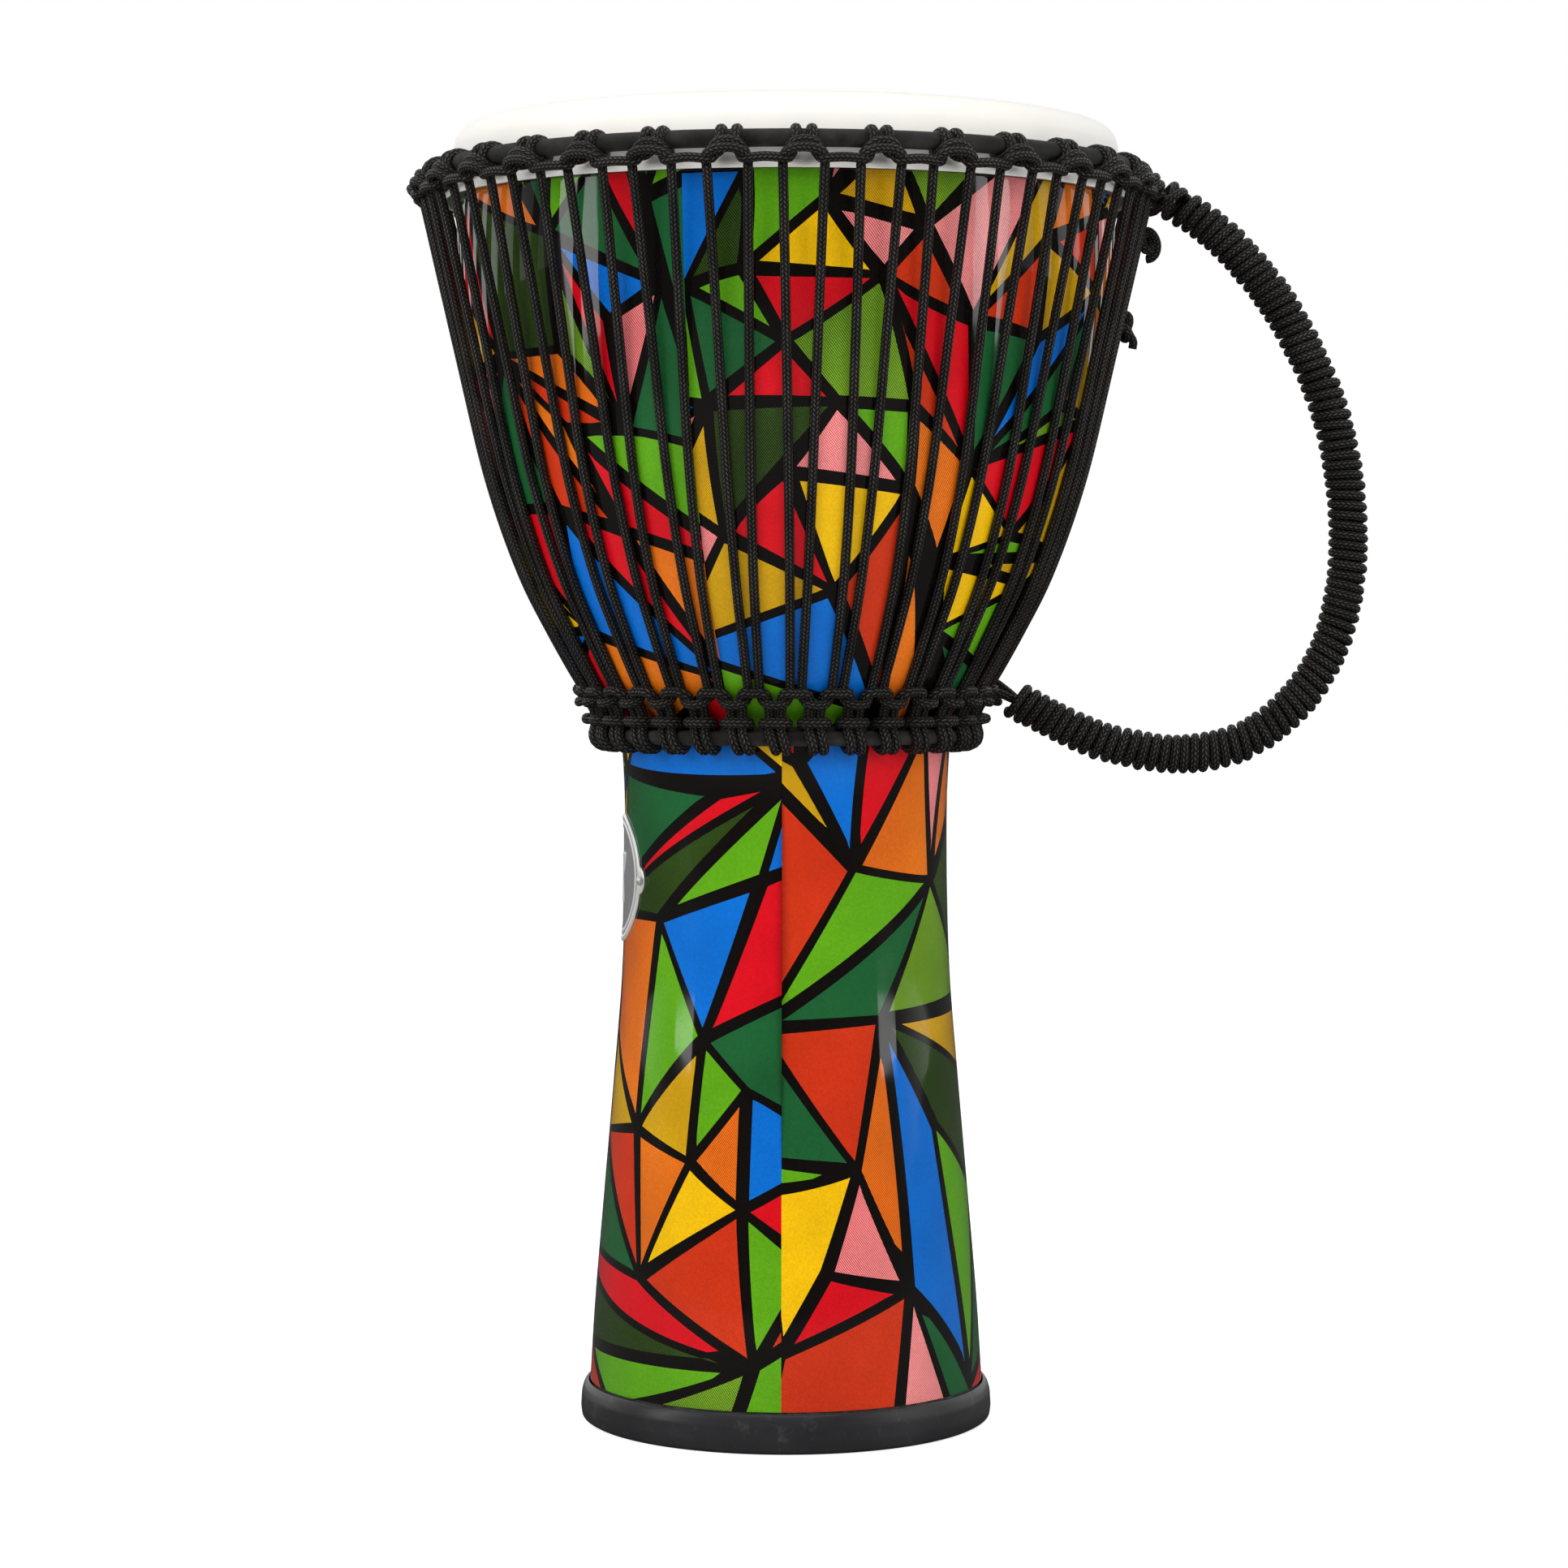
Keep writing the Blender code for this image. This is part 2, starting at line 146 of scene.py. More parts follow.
def rounded(outline, radius, steps=4, closed=True):
    """An outline with each corner replaced by a small arc-like curve."""
    made = []
    count = len(outline)
    for index, corner in enumerate(outline):
        if not closed and index in (0, count - 1):
            made.append(corner)
            continue
        here = Vector(corner)
        back = Vector(outline[index - 1]) - here
        ahead = Vector(outline[(index + 1) % count]) - here
        reach = min(radius, back.length * CORNER_REACH, ahead.length * CORNER_REACH)
        start, end = here + back.normalized() * reach, here + ahead.normalized() * reach
        for step in range(steps + 1):
            t = step / steps
            made.append(tuple((1 - t) ** 2 * start + 2 * t * (1 - t) * here + t * t * end))
    return made


# ---------------------------------------------------------------- node materials
def linear(red, green, blue):
    """An 8-bit display colour as linear light."""
    def channel(value):
        value /= 255
        return value / 12.92 if value <= 0.04045 else ((value + 0.055) / 1.055) ** 2.4
    return (channel(red), channel(green), channel(blue), 1.0)


def set_range(node, *numbers):
    for name, number in zip(("From Min", "From Max", "To Min", "To Max"), numbers):
        node.inputs[name].default_value = number


class Shader:
    """A Principled material and short calls that add nodes to it."""

    def __init__(self, name, roughness=0.5, metallic=0.0, colour=(0.8, 0.8, 0.8, 1.0)):
        self.material = bpy.data.materials.new(name)
        self.material.use_nodes = True
        self.material.diffuse_color = colour
        self.nodes = self.material.node_tree.nodes
        self.links = self.material.node_tree.links
        self.principled = self.nodes["Principled BSDF"]
        self.place = self.add("TexCoord").outputs["Object"]
        self.set("Base Color", colour)
        self.set("Roughness", roughness)
        self.set("Metallic", metallic)

    def put(self, socket, value):
        if isinstance(value, bpy.types.NodeSocket):
            self.links.new(value, socket)
        elif value is not None:
            socket.default_value = value

    def set(self, name, value):
        self.put(self.principled.inputs[name], value)

    def add(self, kind, **inputs):
        """A new node with these inputs."""
        node = self.nodes.new("ShaderNode" + kind)
        for name, value in inputs.items():
            self.put(node.inputs[name], value)
        return node

    def math(self, operation, first, second=None, third=None):
        node = self.add("Math")
        node.operation = operation
        for socket, value in zip(node.inputs, (first, second, third)):
            self.put(socket, value)
        return node.outputs[0]

    def times(self, first, second):
        return self.math("MULTIPLY", first, second)

    def wave(self, value):
        """A smooth 0 to 1 wave with a period of 1."""
        return self.math("MULTIPLY_ADD", self.math("COSINE", self.times(value, TURN)), 0.5, 0.5)

    def noise(self, scale, detail=2.0, rough=0.5):
        node = self.add("TexNoise", Vector=self.place, Scale=scale, Detail=detail, Roughness=rough)
        return node.outputs["Fac"]

    def unwrapped(self, name):
        """The two coordinates of an unwrapping, apart."""
        node = self.add("UVMap")
        node.uv_map = name
        split = self.add("SeparateXYZ", Vector=node.outputs["UV"])
        return split.outputs["X"], split.outputs["Y"]

    def attribute(self, name, output="Color"):
        node = self.add("Attribute")
        node.attribute_name = name
        return node.outputs[output]

    def mix(self, factor, first, second, blend="MIX"):
        node = self.add("Mix")
        node.data_type = "RGBA"
        node.blend_type = blend
        self.put(node.inputs["Factor"], factor)
        self.put(node.inputs[6], first)
        self.put(node.inputs[7], second)
        return node.outputs[2]

    def range(self, value, *numbers):
        """A value carried from one range (low, high) to another (low, high)."""
        node = self.add("MapRange", Value=value)
        set_range(node, *numbers)
        return node.outputs["Result"]

    def tint(self, colour, tone):
        """The base colour: this colour times a tone."""
        self.set("Base Color", self.mix(1.0, colour, tone, "MULTIPLY"))

    def relief(self, height, distance, strength, name="Normal"):
        node = self.add("Bump", Strength=strength, Distance=distance, Height=height)
        self.set(name, node.outputs["Normal"])


DOT_PITCH, YARN_PITCH = 0.00080, 0.00062
SLANT_UP, SLANT_ACROSS = 0.60 / DOT_PITCH, 0.80 / DOT_PITCH


def lacquered_print():
    """Printed cloth: flat and halftone shards, yarn texture, and a glossy coat with slight waviness."""
    made = Shader("lacquered_print", roughness=0.55)
    across, up = made.unwrapped("cloth")
    slant_a = made.math("MULTIPLY_ADD", up, SLANT_UP, made.times(across, SLANT_ACROSS))
    slant_b = made.math("MULTIPLY_ADD", up, -SLANT_ACROSS, made.times(across, SLANT_UP))
    stripe = made.range(made.noise(9.0, 1.0), 0.4, 0.6, 0.25, 0.95)
    dots = made.math("ADD", made.wave(slant_a), made.times(made.wave(slant_b), stripe))
    mask = made.range(dots, 0.35, 1.15, 0.0, 1.0)
    base = made.mix(mask, made.attribute("print_dark"), made.attribute("print_light"))
    blotch = made.range(made.noise(38.0, 3.0), 0.3, 0.7, 0.92, 1.06)
    yarn = made.range(made.noise(900.0, 1.0), 0.35, 0.65, 0.93, 1.07)
    stain = made.range(made.noise(11.0, 2.0), 0.62, 0.72, 1.0, 0.86)
    made.tint(base, made.times(made.times(blotch, yarn), stain))
    warp = made.wave(made.math("DIVIDE", across, YARN_PITCH))
    weft = made.wave(made.math("DIVIDE", up, YARN_PITCH))
    made.relief(made.times(warp, weft), 0.00006, 0.5)
    made.set("Specular IOR Level", 0.08)
    made.set("Coat Weight", 1.0)
    made.set("Coat Roughness", made.range(made.noise(60.0), 0.3, 0.7, 0.03, 0.08))
    made.set("Coat IOR", 1.56)
    made.relief(made.noise(34.0, 1.0), 0.00022, 0.35, "Coat Normal")
    return made.material


def braid(name, shade, painted_highlight):
    """Round braided rope: columns of slanting plaits round it, each leaning the other way from the next,
    their crests painted lighter as a painted highlight.
    """
    made = Shader(name, roughness=0.6, colour=shade)
    lengthways, turn = made.unwrapped("lay")
    odd = made.times(made.math("MODULO", made.math("FLOOR", turn), 2.0), 0.5)
    climb = made.math("MULTIPLY_ADD", made.math("PINGPONG", turn, 1.0), 0.85, odd)
    share = made.math("FRACT", made.math("ADD", lengthways, climb))
    ridge = made.math("SINE", made.times(share, math.pi))
    swell = made.math("SINE", made.times(made.math("FRACT", turn), math.pi))
    pillow = made.times(made.math("POWER", ridge, 0.6), made.math("POWER", swell, 0.5))
    height = made.math("MULTIPLY_ADD", made.noise(1500.0, 1.0), 0.15, pillow)
    worn = made.range(made.noise(45.0, 3.0), 0.35, 0.7, 0.7, 1.35)
    # The plaits' crests are painted lighter: a painted highlight in the base colour.
    made.tint(made.mix(made.range(height, 0.72, 1.1, 0.0, 1.0), shade, painted_highlight), worn)
    made.set("Roughness", made.range(height, 0.4, 1.1, 0.8, 0.34))
    made.relief(height, 0.0005, 1.0)
    return made.material


def ring_cloth():
    """Black cloth sleeve with a fine twill, its ridges painted lighter and its hollows darker as painted
    highlight and shade.
    """
    shade = linear(27, 25, 23)
    made = Shader("ring_cloth", roughness=0.85, colour=shade)
    across, up = made.unwrapped("lay")
    twill = made.wave(made.math("MULTIPLY_ADD", across, 9.0, made.times(up, 6.0)))
    height = made.math("MULTIPLY_ADD", made.noise(1100.0), 0.7, made.times(twill, 0.6))
    rubbed = made.range(made.noise(90.0, 4.0), 0.4, 0.62, 0.5, 2.4)
    # The twill's height brightens its ridges and darkens its hollows: painted highlight and painted shade.
    made.tint(shade, made.times(rubbed, made.range(height, 0.2, 1.1, 0.45, 1.7)))
    made.set("Sheen Weight", 0.08)
    made.relief(height, 0.0005, 0.9)
    return made.material


def head_film():
    """White coated polyester: a fine sprayed grain, slightly glossy."""
    shade = linear(240, 237, 231)
    made = Shader("head_film", roughness=0.42, colour=shade)
    grain = made.noise(700.0)
    made.tint(shade, made.range(made.noise(14.0, 3.0), 0.3, 0.7, 0.975, 1.0))
    made.set("Roughness", made.range(grain, 0.3, 0.7, 0.36, 0.5))
    made.set("Subsurface Weight", 0.2)
    made.set("Subsurface Radius", (0.004, 0.0037, 0.0034))
    made.relief(grain, 0.00008, 0.5)
    return made.material


def foot_rubber():
    """Moulded black rubber, satin, with scuffs and dust near the floor."""
    shade = linear(40, 40, 42)
    made = Shader("foot_rubber", roughness=0.5, colour=shade)
    cloud = made.noise(26.0, 4.0)
    scuff = made.range(made.noise(120.0, 5.0, 0.7), 0.58, 0.72, 0.0, 0.35)
    made.tint(made.mix(scuff, shade, linear(92, 90, 88)), made.range(cloud, 0.3, 0.7, 0.82, 1.2))
    made.set("Roughness", made.range(cloud, 0.3, 0.7, 0.28, 0.46))
    made.relief(made.math("ADD", made.noise(1400.0), cloud), 0.00012, 0.5)
    return made.material


def fibreglass():
    """Dark resin with the random chopped strands showing inside."""
    shade = linear(46, 45, 44)
    made = Shader("fibreglass", roughness=0.5, colour=shade)
    strands = made.add("TexVoronoi", Scale=130.0, Vector=made.place)
    strands.feature = "DISTANCE_TO_EDGE"
    height = made.math("ADD", made.noise(240.0, 5.0, 0.7), strands.outputs["Distance"])
    made.set("Base Color", made.mix(made.range(height, 0.4, 0.9, 0.0, 1.0), shade, linear(84, 82, 78)))
    made.set("Roughness", made.range(height, 0.4, 0.9, 0.35, 0.7))
    made.relief(height, 0.0007, 0.7)
    return made.material


def metal(name, shade, roughness, scale):
    """Metal with fine polishing marks."""
    made = Shader(name, roughness=roughness, metallic=0.7, colour=shade)
    marks = made.noise(scale, 4.0, 0.65)
    made.set("Roughness", made.range(marks, 0.3, 0.7, roughness * 0.7, roughness * 1.5))
    made.tint(shade, made.range(marks, 0.3, 0.7, 0.9, 1.05))
    made.relief(marks, 0.00003, 0.4)
    return made.material


def badge_metal():
    """Bright plated relief over a dark brushed field."""
    made = Shader("badge_metal", roughness=0.22, metallic=0.6)
    raised = made.attribute("raised", "Fac")
    marks = made.noise(900.0, 3.0)
    field = made.mix(marks, linear(128, 128, 130), linear(160, 160, 162))
    bright = made.mix(marks, linear(238, 238, 235), linear(252, 252, 249))
    made.set("Base Color", made.mix(raised, field, bright))
    made.set("Roughness", made.range(raised, 0.0, 1.0, 0.42, 0.32))
    made.relief(marks, 0.00004, 0.4)
    return made.material


# ---------------------------------------------------------------- mesh building
TURNED_SIDES = 192
TURNED_SHARP = 40
PLAITS = 8
BRAID_LAY = 1 / 0.0021


def linked(name, data):
    """A new object in the scene."""
    made = bpy.data.objects.new(name, data)
    bpy.context.scene.collection.objects.link(made)
    return made


def add_piece(name, mesh, material, body, slot, *nodes):
    """Puts a finished mesh in the scene, on its body, in place of the CAD nodes it stands for."""
    mesh.materials.append(material)
    piece = linked(name, mesh)
    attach(piece, body)
    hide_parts(*nodes)


def finished(shape, name, sharp):
    """The mesh of a bmesh: faces turned outwards, smooth but for its sharp corners."""
    bmesh.ops.recalc_face_normals(shape, faces=shape.faces)
    mesh = bpy.data.meshes.new(name)
    shape.to_mesh(mesh)
    shape.free()
    mesh.shade_smooth()
    mesh.set_sharp_from_angle(angle=math.radians(sharp))
    return mesh


def turned(name, outline):
    """A closed (radius, height) outline turned about the axis; it may start and end on the axis."""
    shape = bmesh.new()
    solid = outline[0][0] == 0
    rims = outline[1:-1] if solid else outline
    columns = []
    for side in range(TURNED_SIDES):
        angle = 360.0 * side / TURNED_SIDES
        columns.append([shape.verts.new(around(angle, *point)) for point in rims])
    for column, following in pairs(columns):
        for index in range(len(rims) - solid):
            ahead = (index + 1) % len(rims)
            shape.faces.new((column[index], following[index], following[ahead], column[ahead]))
    if solid:
        for end, rim in ((outline[0], 0), (outline[-1], -1)):
            centre = shape.verts.new((AXIS_X, 0, end[1]))
            for column, following in pairs(columns):
                shape.faces.new((centre, column[rim], following[rim]))
    return finished(shape, name, TURNED_SHARP)


def tube_normals(tangents, closed):
    """Directions across a route that turn as little as they can, and meet again where it closes."""
    normal = np.cross(tangents[0], (0.13, 0.21, 0.97))
    normals = []
    for tangent in tangents:
        normal = normal - tangent * (normal @ tangent)
        normal = normal / np.linalg.norm(normal)
        normals.append(normal)
    normals = np.array(normals)
    twist = np.zeros(len(tangents))
    if closed:
        last = normals[-1] - tangents[0] * (normals[-1] @ tangents[0])
        side = np.cross(tangents[0], normals[0])
        slip = math.atan2(last @ side, last @ normals[0])
        twist = -slip * np.arange(len(tangents)) / len(tangents)
    return normals, twist


def tube(name, route, radius, sides=12, closed=False, lay_scale=BRAID_LAY):
    """A smooth round tube along a route, with one unwrapped (length, plait) pair for each face corner."""
    path = np.array([point[:] for point in route])
    count = len(path)
    if closed:
        tangents = np.roll(path, -1, 0) - np.roll(path, 1, 0)
    else:
        tangents = np.gradient(path, axis=0)
    tangents /= np.linalg.norm(tangents, axis=1)[:, None]
    normals, twist = tube_normals(tangents, closed)
    binormals = np.cross(tangents, normals)
    angle = ((np.arange(sides) * 2 * math.pi / sides)[None, :] + twist[:, None])[..., None]
    size = np.broadcast_to(np.asarray(radius, float), (count,))[:, None, None]
    spokes = np.cos(angle) * normals[:, None, :] + np.sin(angle) * binormals[:, None, :]
    points = (path[:, None, :] + size * spokes).reshape(-1, 3)
    steps = np.linalg.norm(np.diff(path, axis=0, append=path[:1]), axis=1)
    along = np.concatenate([[0.0], np.cumsum(steps)]) * lay_scale
    if closed:
        along *= max(2, round(along[-1] / 2) * 2) / along[-1]
    faces, lay = [], []
    for ring in range(count if closed else count - 1):
        here, there = ring * sides, (ring + 1) % count * sides
        for corner in range(sides):
            beside = (corner + 1) % sides
            faces.append((here + corner, here + beside, there + beside, there + corner))
            low, high = PLAITS * corner / sides, PLAITS * (corner + 1) / sides
            lay += [(along[ring], low), (along[ring], high), (along[ring + 1], high), (along[ring + 1], low)]
    if not closed:
        for ring, order in ((0, -1), (count - 1, 1)):
            faces.append(tuple(range(ring * sides, ring * sides + sides))[::order])
            lay += [(along[ring], PLAITS * corner / sides) for corner in range(sides)]
    mesh = bpy.data.meshes.new(name)
    mesh.from_pydata(points, [], faces)
    layer = mesh.uv_layers.new(name="lay")
    layer.data.foreach_set("uv", np.asarray(lay, np.float32).ravel())
    mesh.shade_smooth()
    mesh.update()
    return mesh


def add_rope(name, route, radius, rope, node, sides=12, closed=False, body="drum"):
    add_piece(name, tube(name, route, radius, sides, closed), rope, body, "black_rope", node)


# ---------------------------------------------------------------- printed cloth
SHARDS = (
    # light display colour, dark display colour of the halftone, how often
    ((208, 10, 27), (194, 6, 20), 5),
    ((206, 56, 18), (178, 38, 12), 5),
    ((240, 132, 24), (172, 54, 10), 5),
    ((234, 186, 4), (226, 174, 2), 3),
    ((216, 170, 10), (158, 114, 6), 3),
    ((96, 166, 20), (80, 146, 14), 4),
    ((126, 172, 36), (44, 80, 16), 2),
    ((28, 94, 48), (22, 82, 42), 4),
    ((4, 104, 198), (2, 97, 186), 3),
    ((240, 156, 154), (194, 58, 68), 2),
    ((56, 86, 22), (16, 26, 8), 2),
)
INK = (13, 9, 7)
LINE_HALF = (0.0015, 0.0036)
LINE_BENDS = (0.0, 0.01, 0.02, 0.035)
SHARD_STRETCH = 0.72
SHARD_ROOMS = (0.6, 0.9, 1.2, 1.5)
SHARD_TRIES = 6000
FLIP_CHANCE = 0.42
MERGE_CHANCE = 0.14
LEAST_TURN = 0.12
LEAST_AREA = 4e-5
MOST_REACH = 0.12
BEND_STEP = 0.005
CLOTH = 0.0006
GRID_COLUMNS = 132
GRID_ROW = 0.009
SLOPE_STEP = 5e-4


class Wrap:
    """A cloth wrap of the shell in conformal coordinates (turn, climb), where equal steps look equal."""

    def __init__(self, node, seam, seed, spacing, more=()):
        self.stations = outline_of(node) + list(more)
        self.low, self.high = self.stations[0][0], self.stations[-1][0]
        heights = np.linspace(self.low, self.high, 400)
        radii = hermite(self.stations, heights)
        slant = np.hypot(np.diff(heights), np.diff(radii))
        middle = (radii[1:] + radii[:-1]) / 2
        self.climbs = np.concatenate([[0.0], np.cumsum(slant / middle)])
        self.heights, self.radii = heights, radii
        self.top = self.climbs[-1]
        self.seam, self.spacing = seam, spacing
        self.random = random.Random(seed)
        self.scale = radii.mean()

    def radius(self, climb):
        return float(np.interp(climb, self.climbs, self.radii))

    def seeds(self):
        """Irregularly spaced corner points for the shards: each keeps its own distance from the others."""
        margin = self.spacing / self.scale
        uniform = self.random.uniform
        found = []
        for _ in range(SHARD_TRIES):
            spot = Vector((uniform(-margin, TURN + margin), uniform(-margin, self.top + margin)))
            room = self.spacing * self.random.choice(SHARD_ROOMS) / self.radius(spot.y)
            gaps = ((spot - other, (room + other_room) / 2) for other, other_room in found)
            if all(math.hypot(gap.x, SHARD_STRETCH * gap.y) > least for gap, least in gaps):
                found.append((spot, room))
        return [spot for spot, _ in found]

    def triangles(self, corners):
        """Triangles between the corner points, with some shared edges turned to make long shards."""
        made = delaunay_2d_cdt(corners, [], [], 0, 1e-7)
        corners = [Vector(corner) for corner in made[0]]
        triangles = [list(face) for face in made[2]]
        for _ in range(len(triangles) * 2):
            edges = edges_of(triangles)
            shared = sorted((sorted(edge), faces) for edge, faces in edges.items() if len(faces) == 2)
            (a, b), (first, second) = self.random.choice(shared)
            c, d = tips(triangles, (first, second), (a, b))
            if self.random.random() < FLIP_CHANCE and convex(corners, (a, c, b, d)):
                triangles[first], triangles[second] = [a, c, d], [b, c, d]
        return corners, triangles

    def shards(self):
        """Coloured polygons inside their black borders, as (points, light, dark)."""
        chance = self.random
        corners, triangles = self.triangles(self.seeds())
        polygons = merge_some(corners, triangles, chance)
        neighbours = edges_of(polygons)
        chosen, lines, found = {}, {}, []
        for edge in neighbours:
            ends = (chance.uniform(*LINE_HALF), chance.uniform(*LINE_HALF))
            lines[edge] = (*ends, chance.uniform(-1, 1) * chance.choice(LINE_BENDS))
        pool = [index for index, shard in enumerate(SHARDS) for _ in range(shard[2])]
        for number, polygon in enumerate(polygons):
            edges = [frozenset(edge) for edge in pairs(polygon)]
            near = {chosen.get(other) for edge in edges for other in neighbours[edge]}
            options = [index for index in pool if index not in near] or pool
            chosen[number] = chance.choice(options)
            scale = self.radius(sum(corners[c].y for c in polygon) / len(polygon))
            inner = inset(corners, polygon, lines, scale)
            if inner:
                found.append((inner, *SHARDS[chosen[number]][:2]))
        return found

    def place(self, flat):
        """The point and outward normal on the drum for conformal coordinates."""
        height = np.interp(flat[1], self.climbs, self.heights)
        radius = float(hermite(self.stations, height))
        above, below = min(height + SLOPE_STEP, self.high), max(height - SLOPE_STEP, self.low)
        slope = float(hermite(self.stations, above) - hermite(self.stations, below)) / (above - below)
        angle = self.seam + math.degrees(flat[0])
        outward = around(angle, 1.0, 0.0) - AXIS
        return around(angle, radius, height), Vector((outward.x, outward.y, -slope)).normalized()


def edges_of(polygons):
    """The numbers of the polygons on each edge."""
    edges = {}
    for number, polygon in enumerate(polygons):
        for edge in pairs(polygon):
            edges.setdefault(frozenset(edge), []).append(number)
    return edges


def tips(triangles, faces, edge):
    """The corner of each of these triangles that isn't on the edge."""
    return [next(corner for corner in triangles[face] if corner not in edge) for face in faces]


def convex(corners, ring):
    """True if the four corners turn the same way all round, by a clear margin."""
    turns = []
    for index in range(4):
        a, b, c = (corners[ring[(index + step) % 4]] for step in range(3))
        first, second = (b - a), (c - b)
        turns.append(first.cross(second) / (first.length * second.length + 1e-12))
    return all(turn > LEAST_TURN for turn in turns) or all(turn < -LEAST_TURN for turn in turns)


def merge_some(corners, triangles, chance):
    """Joins some pairs of triangles into four-cornered shards, and puts all corners anticlockwise."""
    used, polygons = set(), []
    for edge, faces in sorted(edges_of(triangles).items(), key=lambda item: sorted(item[0])):
        if len(faces) != 2 or used & set(faces) or chance.random() > MERGE_CHANCE:
            continue
        a, b = sorted(edge)
        c, d = tips(triangles, faces, (a, b))
        if convex(corners, (a, c, b, d)):
            used |= set(faces)
            polygons.append([a, c, b, d])
    polygons += [face for number, face in enumerate(triangles) if number not in used]
    for polygon in polygons:
        if sum(corners[a].cross(corners[b]) for a, b in pairs(polygon)) < 0:
            polygon.reverse()
    return polygons


def inset(corners, polygon, lines, scale):
    """The polygon pulled in from each edge by half the line, with the line's slight bend, or nothing."""
    borders, bends = [], []
    for a, b in pairs(polygon):
        start, end = corners[a], corners[b]
        first, second, bend = lines[frozenset((a, b))]
        if a > b:
            first, second, bend = second, first, -bend
        inward = Vector((start.y - end.y, end.x - start.x)).normalized()
        borders.append((start + inward * first / scale, end + inward * second / scale))
        bends.append(inward * bend * (end - start).length)
    points = []
    for (a, b), (c, d) in zip([borders[-1], *borders[:-1]], borders):
        first, second = b - a, d - c
        turn = first.cross(second)
        if abs(turn) < 1e-9:
            return None
        points.append(a + first * ((c - a).cross(second) / turn))
    area = sum(a.cross(b) for a, b in pairs(points)) / 2
    if area * scale * scale < LEAST_AREA:
        return None
    outline = []
    for (start, end), bend, (a, b) in zip(borders, bends, pairs(points)):
        whole = end - start
        if whole.dot(b - a) < 0:
            return None
        parts = max(2, math.ceil((b - a).length * scale / BEND_STEP))
        for part in range(parts):
            spot = a.lerp(b, part / parts)
            share = (spot - start).dot(whole) / whole.length_squared
            outline.append(spot + bend * 4 * max(0.0, share * (1 - share)))
    centre = sum((corners[c] for c in polygon), Vector((0, 0))) / len(polygon)
    if any((point - centre).length > MOST_REACH / scale for point in points):
        return None
    return outline


def clip(points, right, top):
    """The part of a convex polygon that lies in a rectangle from the origin."""
    for axis, limit, keep in ((0, 0.0, 1), (0, right, -1), (1, 0.0, 1), (1, top, -1)):
        kept = []
        for here, ahead in pairs(points):
            side, next_side = keep * (here[axis] - limit), keep * (ahead[axis] - limit)
            if side >= 0:
                kept.append(here)
            if side * next_side < 0:
                kept.append(here.lerp(ahead, side / (side - next_side)))
        points = kept
        if len(points) < 3:
            return []
    return points


def owners(middles, outlines):
    """For each point, the number of the outline that it lies in, or -1."""
    found = np.full(len(middles), -1)
    for number, outline in enumerate(outlines):
        low, high = outline.min(axis=0), outline.max(axis=0)
        near = np.flatnonzero((middles > low).all(axis=1) & (middles < high).all(axis=1) & (found < 0))
        spots = middles[near]
        odd = np.zeros(len(near), bool)
        for (ax, ay), (bx, by) in zip(outline, np.roll(outline, -1, axis=0)):
            if ay == by:
                continue
            spans = (spots[:, 1] > ay) != (spots[:, 1] > by)
            odd ^= spans & (spots[:, 0] < ax + (spots[:, 1] - ay) * (bx - ax) / (by - ay))
        found[near[odd]] = number
    return found


def grid_spots(wrap):
    """Points spread evenly over a wrap, so that its faces follow the shell's curve."""
    rows = max(8, round(wrap.top * wrap.scale / GRID_ROW))
    found = []
    for row in range(rows + 1):
        for column in range(GRID_COLUMNS + 1):
            shift = 0.49 if row % 2 and 0 < column < GRID_COLUMNS else 0.0
            turn = min((column + shift) * 2 * math.pi / GRID_COLUMNS, TURN)
            found.append(Vector((turn, wrap.top * row / rows)))
    return found


